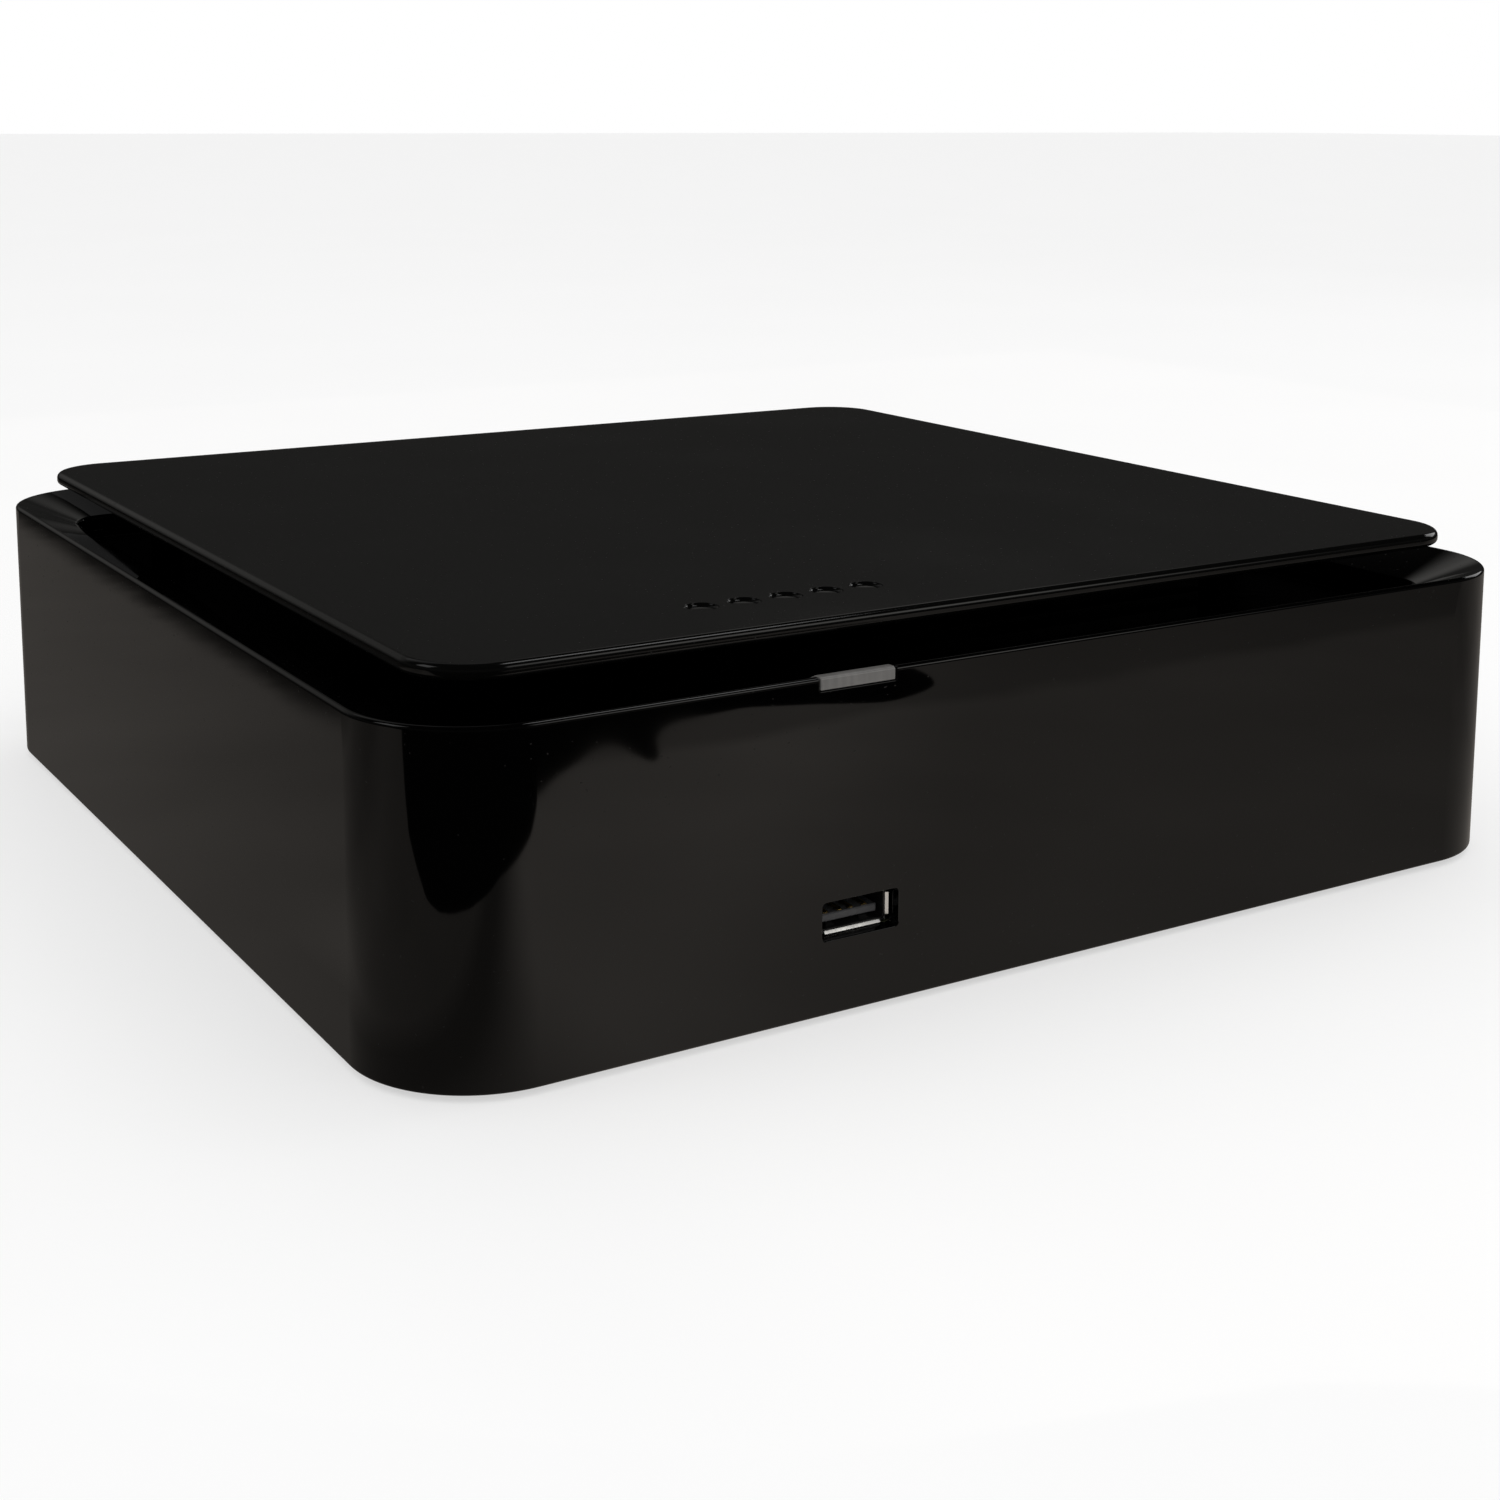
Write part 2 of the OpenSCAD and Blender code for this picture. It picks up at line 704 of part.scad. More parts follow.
module lamp_led() {
    led_h = lamp_board_y - (-inner + lamp_depth - wall) - 0.3;
    color([0.95, 0.95, 0.85]) translate([lamp_x, lamp_board_y - led_h - 0.02, lamp_board_z + 7.4])
        block_from(3, led_h, 1.6);
}

module lamp_screws() {
    color([0.75, 0.75, 0.76]) for (x = [-1, 1])
        translate([lamp_x + x * 8, lamp_board_y + 1.25, lamp_board_z + 3]) rotate([-90, 0, 0])
            screw(3, 0.7, 1.6, 1.1);
}

module processor() {
    color([0.1, 0.1, 0.1]) translate([cooler_x, cpu_y, board_z]) {
        block(32, 26, 1);
        translate([0, 0, 1 - eps]) block(14, 10, 0.8);
    }
}

// Flat black chip packages.
module board_chips() {
    color([0.05, 0.05, 0.05]) translate([0, 0, board_z]) {
        for (x = [12, 32, 52]) translate([x, -44, 0]) block(14, 10, 1.2);
        translate([-22, 80, 0]) block(12, 12, 1.2);
        translate([-45, 76, 0]) block(9, 9, 1.2);
        translate([74, -20, 0]) block(8, 16, 1.2);
        translate([74, 10, 0]) block(8, 16, 1.2);
    }
}

module board_inductors() {
    color([0.3, 0.3, 0.32]) for (i = [0:3]) translate([14 + 14 * i, 35, board_z]) block(8, 8, 4.5);
}

module board_capacitors() {
    color([0.65, 0.65, 0.67]) for (i = [0:4])
        translate([4 + 14 * i, -56, board_z]) cylinder(r = 3, h = 6.5);
}

// Memory, held flat over the board by its socket.
module memory_socket() {
    color([0.06, 0.06, 0.06]) translate([drive_x, memory_y - 17, board_z]) difference() {
        block(72, 7, 5);
        translate([0, 1, 2.2]) block_from(68, 4, 1.4);
    }
    color([0.7, 0.7, 0.7]) for (x = [-1, 1])
        translate([drive_x + x * 35.4, memory_y - 13.5 - eps, board_z]) block_from(0.8, 30, 4);
}

module memory_module() {
    color([0.04, 0.14, 0.08]) translate([drive_x, memory_y - 15.9, board_z + 2.3])
        block_from(67.6, 30, 1.2);
    color([0.05, 0.05, 0.05]) for (x = [-24, -8, 8, 24])
        translate([drive_x + x, memory_y + 1, board_z + 3.49]) block(11, 13, 1);
}

// A stick-shaped solid state memory, screwed down at its far end.
module ssd_socket() {
    color([0.08, 0.08, 0.08]) translate([-78, ssd_y, board_z]) difference() {
        block(6, 24, 4);
        translate([1, -11.2, 2]) cube([4, 22.4, 1.2]);
    }
}

module ssd_module() {
    color([0.04, 0.12, 0.2]) difference() {
        translate([-76.8, ssd_y - 11, board_z + 2.2]) cube([80, 22, 0.8]);
        translate([3.2, ssd_y, board_z + 1]) cylinder(r = 1.8, h = 3);
    }
    color([0.05, 0.05, 0.05]) for (x = [-62, -42, -22])
        translate([x, ssd_y, board_z + 2.99]) block(13, 17, 1.2);
}

module ssd_screw() {
    color([0.75, 0.75, 0.76]) {
        translate([3.2, ssd_y, board_z + 3.02]) screw(1, 1.2, 2.6, 1.2);
        translate([3.2, ssd_y, board_z]) cylinder(r = 1.7, h = 3.03);
    }
}

module cell_holder() {
    color([0.08, 0.08, 0.08]) translate([cell_x, cell_y, board_z]) difference() {
        cylinder(r = 12, h = 4);
        translate([0, 0, 1]) cylinder(r = 10.2, h = 4);
        translate([0, 6, 1]) block(8, 14, 4);
    }
}

module coin_cell() {
    color([0.8, 0.8, 0.8]) translate([cell_x, cell_y, board_z + 1.05]) cylinder(r = 10, h = 3.2);
}

// ---------------------------------------------------------------- drive

module bracket_feet() {
    for (x = [-1, 1], y = [-1, 1])
        translate([drive_x + x * (drive_w / 2 + tray_t + 2.7), drive_y + y * (bracket_l / 2 - 5), 0])
            children();
}

// A folded sheet tray: floor, two sides, and four legs with flat feet.
module drive_bracket() {
    out_w = drive_w + 2 * tray_t + 0.4;
    foot_t = 1;
    color([0.6, 0.6, 0.62]) difference() {
        union() {
            translate([drive_x, drive_y, drive_z - tray_t - 0.05]) block(out_w, bracket_l, tray_t);
            for (x = [-1, 1]) translate([drive_x + x * (out_w - tray_t) / 2, drive_y,
                                         drive_z - tray_t - 0.05])
                block(tray_t, bracket_l, drive_h - 1);
            for (x = [-1, 1], y = [-1, 1])
                translate([drive_x + x * (out_w - tray_t) / 2, drive_y + y * (bracket_l / 2 - 5),
                           board_z + 0.05])
                    block(tray_t, 8, drive_z - board_z - tray_t);
            bracket_feet() translate([0, 0, board_z + 0.05]) block(5.6, 8, foot_t);
        }
        bracket_feet() translate([0, 0, board_z - 1]) cylinder(r = 1.4, h = 4);
        translate([drive_x, drive_y, drive_z - 3]) slab(40, 60, 4, 3);
        drive_screw_places() cylinder(r = 1.6, h = 4, center = true);
    }
}

module drive_screw_places() {
    reach = drive_w / 2 + 0.2 + tray_t;
    for (x = [-1, 1], y = [-38, 38])
        translate([drive_x + x * reach, drive_y + y, drive_z + 3]) rotate([0, x * 90, 0]) children();
}

module solid_drive() {
    color([0.62, 0.63, 0.65]) difference() {
        translate([drive_x, drive_y, drive_z]) slab(drive_w, drive_l, drive_h, 2);
        drive_screw_places() translate([0, 0, -4]) cylinder(r = 1.3, h = 4);
    }
}

module drive_screws() {
    color([0.75, 0.75, 0.76]) {
        drive_screw_places() translate([0, 0, 0.02]) screw(3.6, 1.2, 2.4, 1.1);
        bracket_feet() {
            translate([0, 0, board_z + 1.07]) cylinder(r = 2.2, h = 1.2);
            translate([0, 0, board_z + 0.1]) cylinder(r = 1.2, h = 1);
        }
    }
}

// Power and data for the drive: a plug on its end and a flat lead down to the board.
module drive_cable() {
    y0 = drive_y + drive_l / 2 + 0.1;
    y1 = y0 + 12;
    t = 1.4;
    color([0.1, 0.1, 0.1]) {
        translate([drive_x, y0, drive_z + 0.6]) block_from(38, 6, 5);
        along_x(drive_x, 24) polygon([
            [y0 + 5.9, drive_z + 2], [y1 - t, drive_z + 2], [y1 - t, board_z + 4],
            [y1, board_z + 4], [y1, drive_z + 2], [y1 - t, drive_z + 2 + t],
            [y0 + 5.9, drive_z + 2 + t]
        ]);
        translate([drive_x, y1 - t / 2, board_z + 0.05]) block(27, 5, 4.2);
    }
}

// ---------------------------------------------------------------- cooler

module cold_plate() {
    color([0.72, 0.42, 0.28]) translate([cooler_x, cpu_y, board_z + 1.85])
        slab(40, 40, cooler_z - board_z - 1.85, 1);
}

module fin_stack() {
    base_t = 2;
    fin_t = 0.5;
    depth = fins_back - fins_front;
    pitch = (fins_w - fin_t) / (fin_count - 1);
    color([0.7, 0.71, 0.72]) translate([cooler_x, fins_front, cooler_z]) {
        block_from(fins_w, depth, base_t);
        for (i = [0:fin_count - 1])
            translate([-fins_w / 2 + fin_t / 2 + i * pitch, 0, base_t - eps])
                block_from(fin_t, depth, cooler_h - base_t);
        for (y = [6, depth - 6]) translate([0, y - 1.5, cooler_h - 0.4 - eps])
            block_from(fins_w, 3, 0.4);
        for (x = [-1, 1], y = cooler_screw_y) translate([x * (fins_w / 2 + 2.9), y, 0])
            difference() {
                block(6, 7, base_t);
                translate([0, 0, -1]) cylinder(r = 1.6, h = 4);
            }
    }
}

// Sprung posts that pull the cold plate down on the processor.
module cooler_screws() {
    color([0.75, 0.75, 0.76]) for (x = [-1, 1], y = cooler_screw_y)
        translate([cooler_x + x * (fins_w / 2 + 2.9), fins_front + y, 0]) {
            translate([0, 0, board_z]) cylinder(r = 1.4, h = cooler_z + 5 - board_z);
            translate([0, 0, cooler_z + 5 - eps]) cylinder(r = 2.8, h = 1.6);
            for (i = [0:2]) translate([0, 0, cooler_z + 2.05 + i]) cylinder(r = 2.2, h = 0.6);
            translate([0, 0, board_z]) cylinder(r = 2.6, h = cooler_z - board_z - 0.05);
        }
}

module blower_outline() {
    rounded_square(2 * blower_half, 2 * blower_half, 8);
    for (x = [-1, 1]) translate([x * (blower_half - 8), blower_half - 8]) square(16, center = true);
}

// The spiral chamber opens to the rear, into the fins.
module blower_chamber() {
    circle(impeller_r + 2.5);
    translate([-impeller_r - 2.5, 0]) square([impeller_r + blower_half, blower_half + 1]);
}

module blower_case() {
    color([0.08, 0.08, 0.085]) translate([cooler_x, blower_y, cooler_z]) difference() {
        linear_extrude(cooler_h - skin) blower_outline();
        translate([0, 0, skin]) linear_extrude(cooler_h) blower_chamber();
        translate([0, 0, -1]) cylinder(r = bearing_r + 0.02, h = 4);
        blower_screw_places() translate([0, 0, -1]) cylinder(r = 1.3, h = cooler_h + 2);
    }
}

module blower_screw_places() {
    for (p = [[-1, -1], [1, -1]]) translate([p[0] * (blower_half - 4.5), p[1] * (blower_half - 4.5), 0])
        children();
}

module blower_cover() {
    color([0.1, 0.1, 0.105]) translate([cooler_x, blower_y, cooler_z + cooler_h - skin + 0.02])
        difference() {
            linear_extrude(skin) blower_outline();
            translate([0, 0, -1]) cylinder(r = impeller_r - 6, h = 4);
            blower_screw_places() translate([0, 0, -1]) cylinder(r = 1.6, h = 4);
        }
}

module blower_bearing() {
    color([0.72, 0.56, 0.28]) translate([cooler_x, blower_y, cooler_z]) difference() {
        cylinder(r = bearing_r, h = 5.5);
        translate([0, 0, 0.8]) cylinder(r = shaft_r + 0.03, h = 8);
    }
}

module blower_shaft() {
    color([0.8, 0.8, 0.82]) translate([cooler_x, blower_y, cooler_z + 1]) cylinder(r = shaft_r, h = 10.8);
}

module blower_impeller() {
    low = skin + 0.8;
    blade_h = cooler_h - 2 * skin - 1.6;
    disc_t = 0.8;
    color([0.05, 0.05, 0.055]) translate([cooler_x, blower_y, cooler_z + low]) {
        difference() {
            cylinder(r = hub_r, h = blade_h);
            translate([0, 0, -1]) cylinder(r = hub_r - 1.2, h = blade_h - 0.2);
            translate([0, 0, -1]) cylinder(r = shaft_r, h = blade_h + 3);
        }
        difference() {
            cylinder(r = impeller_r, h = disc_t);
            translate([0, 0, -1]) cylinder(r = hub_r - 0.5, h = disc_t + 2);
        }
        for (i = [0:blade_count - 1]) rotate(i * 360 / blade_count)
            translate([impeller_r - 7, 0, disc_t - eps]) rotate(28) block_x(7.2, 0.6, blade_h - disc_t);
    }
}

// A block that runs from x = 0 to x = l, is centred in Y and stands on z = 0.
module block_x(l, w, h) {
    translate([0, -w / 2, 0]) cube([l, w, h]);
}

module blower_screws() {
    color([0.75, 0.75, 0.76]) translate([cooler_x, blower_y, 0]) blower_screw_places() {
        translate([0, 0, cooler_z + cooler_h + 0.04]) screw(cooler_h - 1, 1.2, 2.4, 1.2);
        translate([0, 0, board_z]) cylinder(r = 2.8, h = cooler_z - board_z - 0.05);
    }
}

// ---------------------------------------------------------------- assembly

outer_shell();
top_plate();
base_cover();
rear_panel();
light_pipe();
foot(-1, -1);  // foot_front_left
foot(1, -1);  // foot_front_right
foot(-1, 1);  // foot_rear_left
foot(1, 1);  // foot_rear_right
base_screws();
mount_inserts();
front_board();
front_board_screws();
front_usb_shell();
front_usb_tongue();
front_usb_contacts();
front_ribbon();
lamp_board();
lamp_led();
lamp_screws();
mainboard();
board_screws();
processor();
board_chips();
board_inductors();
board_capacitors();
memory_socket();
memory_module();
ssd_socket();
ssd_module();
ssd_screw();
cell_holder();
coin_cell();
power_jack();
power_jack_pin();
lan_port();
lan_contacts();
audio_jack();
rear_usb_shells();
rear_usb_tongues();
rear_usb_contacts();
hdmi_shell();
hdmi_tongue();
power_switch();
power_button();
reset_switch();
reset_plunger();
drive_bracket();
solid_drive();
drive_screws();
drive_cable();
cold_plate();
fin_stack();
cooler_screws();
blower_case();
blower_cover();
blower_impeller();
blower_shaft();
blower_bearing();
blower_screws();
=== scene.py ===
import json
import math

import bmesh
import bpy
from mathutils import Matrix, Vector
from mathutils.geometry import tessellate_polygon

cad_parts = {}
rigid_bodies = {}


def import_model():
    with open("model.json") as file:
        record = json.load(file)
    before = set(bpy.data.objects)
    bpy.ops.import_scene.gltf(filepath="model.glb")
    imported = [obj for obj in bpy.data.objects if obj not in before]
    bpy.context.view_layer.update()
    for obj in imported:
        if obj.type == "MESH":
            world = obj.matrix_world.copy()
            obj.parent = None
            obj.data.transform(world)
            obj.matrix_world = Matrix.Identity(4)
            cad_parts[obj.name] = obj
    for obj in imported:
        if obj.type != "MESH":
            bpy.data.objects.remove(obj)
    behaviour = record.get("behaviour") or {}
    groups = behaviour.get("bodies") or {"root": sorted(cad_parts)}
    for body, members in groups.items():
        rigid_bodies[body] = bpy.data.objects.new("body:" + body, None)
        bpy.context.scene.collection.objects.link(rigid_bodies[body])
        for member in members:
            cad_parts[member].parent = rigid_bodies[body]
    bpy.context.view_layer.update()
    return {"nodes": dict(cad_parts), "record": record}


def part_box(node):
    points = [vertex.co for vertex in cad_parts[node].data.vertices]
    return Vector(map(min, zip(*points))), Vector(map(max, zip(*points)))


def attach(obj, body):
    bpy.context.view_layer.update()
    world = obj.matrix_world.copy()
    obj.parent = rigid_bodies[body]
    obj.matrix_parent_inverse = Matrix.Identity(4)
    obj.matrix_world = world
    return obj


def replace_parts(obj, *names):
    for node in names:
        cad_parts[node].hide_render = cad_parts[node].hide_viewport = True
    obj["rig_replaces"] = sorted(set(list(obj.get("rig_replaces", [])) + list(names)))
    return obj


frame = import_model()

MM = 0.001
SCENE = bpy.context.scene
COLLECTION = SCENE.collection

# ------------------------------------------------------------------ camera

LENS, SENSOR = 53.213, 36.0
SHIFT = (-0.0137, -0.1992)
EYE = (-0.21665, -0.37141, 0.13408)
AIM = math.radians(32.023)
DIP = math.radians(8.694)
ROLL = math.radians(0.266)


def make_camera():
    """Looks from low down at the front left corner, with the horizon above."""
    data = bpy.data.cameras.new("camera")
    data.lens, data.sensor_width = LENS, SENSOR
    data.shift_x, data.shift_y = SHIFT
    data.clip_start, data.clip_end = 0.01, 50
    cam = bpy.data.objects.new("camera", data)
    COLLECTION.objects.link(cam)
    ahead = Vector((math.sin(AIM) * math.cos(DIP), math.cos(AIM) * math.cos(DIP), -math.sin(DIP)))
    cam.location = EYE
    right = ahead.cross(Vector((0, 0, 1))).normalized()
    turn = Matrix.Rotation(-ROLL, 3, ahead)
    axes = Matrix((turn @ right, turn @ right.cross(ahead), -ahead)).transposed()
    cam.rotation_mode = "QUATERNION"
    cam.rotation_quaternion = axes.to_quaternion()
    SCENE.camera = cam


make_camera()

# ------------------------------------------------------------------ materials


class Finish:
    """A Principled material and the few texture nodes that its details are mixed from."""

    def __init__(self, name, colour, rough, metal=0.0, ior=1.5, **sockets):
        self.material = bpy.data.materials.new(name)
        self.material.use_nodes = True
        self.tree = self.material.node_tree
        self.shader = self.tree.nodes["Principled BSDF"]
        self.put("Base Color", (*colour, 1))
        self.put("Roughness", rough)
        self.put("Metallic", metal)
        self.put("IOR", ior)
        for socket, value in sockets.items():
            self.put(socket.replace("_", " "), value)
        self.place = self.tree.nodes.new("ShaderNodeTexCoord").outputs["Object"]
        self.normal = None

    def put(self, socket, value):
        self.shader.inputs[socket].default_value = value

    def node(self, kind, **values):
        made = self.tree.nodes.new(kind)
        for key, value in values.items():
            setattr(made, key, value)
        return made

    def join(self, out, into):
        self.tree.links.new(out, into)

    def spot(self, stretch=(1, 1, 1)):
        """The point in the row frame, scaled along each axis."""
        if tuple(stretch) == (1, 1, 1):
            return self.place
        mapping = self.node("ShaderNodeMapping")
        mapping.inputs["Scale"].default_value = stretch
        self.join(self.place, mapping.inputs["Vector"])
        return mapping.outputs["Vector"]

    def noise(self, size, detail=2.0, stretch=(1, 1, 1)):
        """Soft noise whose features are about size metres across."""
        made = self.node("ShaderNodeTexNoise")
        made.inputs["Scale"].default_value = 1 / size
        made.inputs["Detail"].default_value = detail
        self.join(self.spot(stretch), made.inputs["Vector"])
        return made.outputs["Fac"]

    def cells(self, size):
        """Distance to the nearest of points strewn about size metres apart."""
        made = self.node("ShaderNodeTexVoronoi")
        made.inputs["Scale"].default_value = 1 / size
        self.join(self.place, made.inputs["Vector"])
        return made.outputs["Distance"]

    def span(self, value, low, high, to_low=0.0, to_high=1.0, how="LINEAR"):
        """value from low..high onto to_low..to_high, clamped."""
        made = self.node("ShaderNodeMapRange", interpolation_type=how)
        for socket, number in zip(("From Min", "From Max", "To Min", "To Max"),
                                  (low, high, to_low, to_high)):
            made.inputs[socket].default_value = number
        self.join(value, made.inputs["Value"])
        return made.outputs["Result"]

    def add(self, a, b, how="ADD"):
        """Two numbers put together, by another rule where how names one; b may be a socket."""
        made = self.node("ShaderNodeMath", operation=how)
        self.join(a, made.inputs[0])
        if isinstance(b, (int, float)):
            made.inputs[1].default_value = b
        else:
            self.join(b, made.inputs[1])
        return made.outputs[0]

    def blend(self, factor, a, b):
        """Colour a where factor is 0 and b where it is 1; a may be a colour or a socket."""
        made = self.node("ShaderNodeMix", data_type="RGBA")
        self.join(factor, made.inputs["Factor"])
        for socket, colour in (("A", a), ("B", b)):
            target = [s for s in made.inputs if s.name == socket and s.type == "RGBA"][0]
            if isinstance(colour, (tuple, list)):
                target.default_value = (*colour, 1)
            else:
                self.join(colour, target)
        return [s for s in made.outputs if s.type == "RGBA"][0]

    def colour(self, socket):
        self.join(socket, self.shader.inputs["Base Color"])

    def rough(self, socket):
        self.join(socket, self.shader.inputs["Roughness"])

    def bump(self, height, depth):
        """Adds relief of depth metres to what is there."""
        made = self.node("ShaderNodeBump")
        made.inputs["Strength"].default_value = 1.0
        made.inputs["Distance"].default_value = depth
        self.join(height, made.inputs["Height"])
        if self.normal is not None:
            self.join(self.normal, made.inputs["Normal"])
        self.normal = made.outputs["Normal"]
        self.join(self.normal, self.shader.inputs["Normal"])

    def edges(self):
        """How much the surface curves, for wear: 0 flat, 1 on an edge."""
        made = self.node("ShaderNodeNewGeometry")
        return self.span(made.outputs["Pointiness"], 0.52, 0.62)


def gloss_black(name, base, rough, ior, dust):
    """Moulded high gloss: faint flow waves, finger haze, hairlines and a little dust."""
    f = Finish(name, base, rough, ior=ior)
    haze = f.span(f.noise(0.035, 3), 0.42, 0.68, rough, rough + 0.045)
    hair = f.span(f.noise(0.0005, 1, (1, 30, 30)), 0.66, 0.8, 0.0, 0.05)
    speck = f.span(f.noise(0.0006, 0), 0.82, 0.85)
    f.rough(f.add(f.add(haze, hair), f.span(speck, 0, 1, 0, 0.3)))
    f.colour(f.blend(speck, base, dust))
    f.bump(f.noise(0.012, 1), 4e-6)
    f.bump(f.noise(0.045, 1), 1.6e-5)
    return f.material


def moulded(name, base, light, rough, grain=0.0004, depth=1.2e-5, ior=1.48):
    """Spark-textured plastic: fine grain, patchy sheen and paler rubbed edges."""
    f = Finish(name, base, rough, ior=ior)
    patch = f.noise(0.02, 3)
    tone = f.blend(f.span(patch, 0.3, 0.7, 0, 0.45), base, light)
    f.colour(f.blend(f.span(f.edges(), 0, 1, 0, 0.5), tone, light))
    f.rough(f.span(patch, 0.3, 0.7, rough - 0.06, rough + 0.08))
    f.bump(f.noise(grain, 2), depth)
    return f.material


def sheet_metal(name, base, dark, rough, stretch, depth=2e-6, grain=0.0004):
    """Rolled or ground metal with grain along the short side of stretch."""
    f = Finish(name, base, rough, metal=1.0)
    streak = f.noise(grain, 3, stretch)
    patch = f.noise(0.006, 3)
    f.colour(f.blend(f.span(f.add(streak, patch, "MULTIPLY"), 0.15, 0.4), dark, base))
    f.rough(f.span(f.add(streak, patch), 0.7, 1.3, rough - 0.07, rough + 0.1))
    f.bump(streak, depth)
    return f.material


def rubber(name):
    f = Finish(name, (0.02, 0.02, 0.021), 0.8, ior=1.45)
    dust = f.span(f.noise(0.003, 4), 0.5, 0.75, 0, 0.35)
    f.colour(f.blend(dust, (0.018, 0.018, 0.019), (0.07, 0.066, 0.062)))
    f.rough(f.span(dust, 0, 0.35, 0.66, 0.86))
    f.bump(f.noise(0.0005, 3), 1.6e-5)
    return f.material


def frosted_lens(name):
    """The lamp's window: milky grey plastic with fine ribs behind a satin face."""
    f = Finish(name, (0.12, 0.12, 0.12), 0.32, ior=1.49, Coat_Weight=0.35, Coat_Roughness=0.12)
    rib = f.span(f.noise(0.0009, 1, (1, 0.05, 0.05)), 0.35, 0.65)
    cloud = f.span(f.noise(0.004, 2), 0.3, 0.7)
    tone = f.blend(rib, (0.1, 0.097, 0.093), (0.125, 0.121, 0.116))
    f.colour(f.blend(f.span(cloud, 0, 1, 0, 0.5), tone, (0.135, 0.13, 0.125)))
    f.rough(f.span(cloud, 0, 1, 0.26, 0.38))
    f.bump(rib, 6e-6)
    return f.material


def circuit(name, mask, copper):
    """Solder mask over traces, with vias and tinned pads."""
    f = Finish(name, mask, 0.35, ior=1.5, Coat_Weight=0.3, Coat_Roughness=0.2)
    brick = f.node("ShaderNodeTexBrick", offset=0.37, squash=0.6)
    for socket, number in (("Scale", 90), ("Mortar Size", 0.06), ("Mortar Smooth", 0.15),
                           ("Brick Width", 0.9), ("Row Height", 0.17)):
        brick.inputs[socket].default_value = number
    f.join(f.place, brick.inputs["Vector"])
    trace = f.add(brick.outputs["Fac"], f.span(f.noise(0.012, 1), 0.48, 0.5), "MULTIPLY")
    via = f.span(f.cells(0.0032), 0.12, 0.15, 1, 0)
    lifted = tuple(0.6 * m + 0.4 * c for m, c in zip(mask, copper))
    tone = f.blend(trace, mask, lifted)
    f.colour(f.blend(via, tone, copper))
    f.rough(f.span(f.noise(0.004, 2), 0.3, 0.7, 0.28, 0.42))
    f.bump(f.add(trace, via), 1.2e-5)
    return f.material


def satin(name, base, light, rough, metal=0.0, size=0.001, depth=4e-6):
    """Fine even grain, for chips, cables, pressed powder and cast metal."""
    f = Finish(name, base, rough, metal=metal)
    grain = f.noise(size, 3)
    f.colour(f.blend(f.span(grain, 0.3, 0.75), base, light))
    f.rough(f.span(grain, 0.3, 0.7, rough - 0.05, rough + 0.07))
    f.bump(grain, depth)
    return f.material


# Deck, bosses and posts: matt, barely reflecting, darker dust; painted shade keeps the gap under
# the plate black.
PAINTED_SHADE_BLACK = gloss_black("painted_shade_black", (0.0003, 0.0003, 0.0003), 0.5, 1.03,
                         (0.0006, 0.0006, 0.0006))
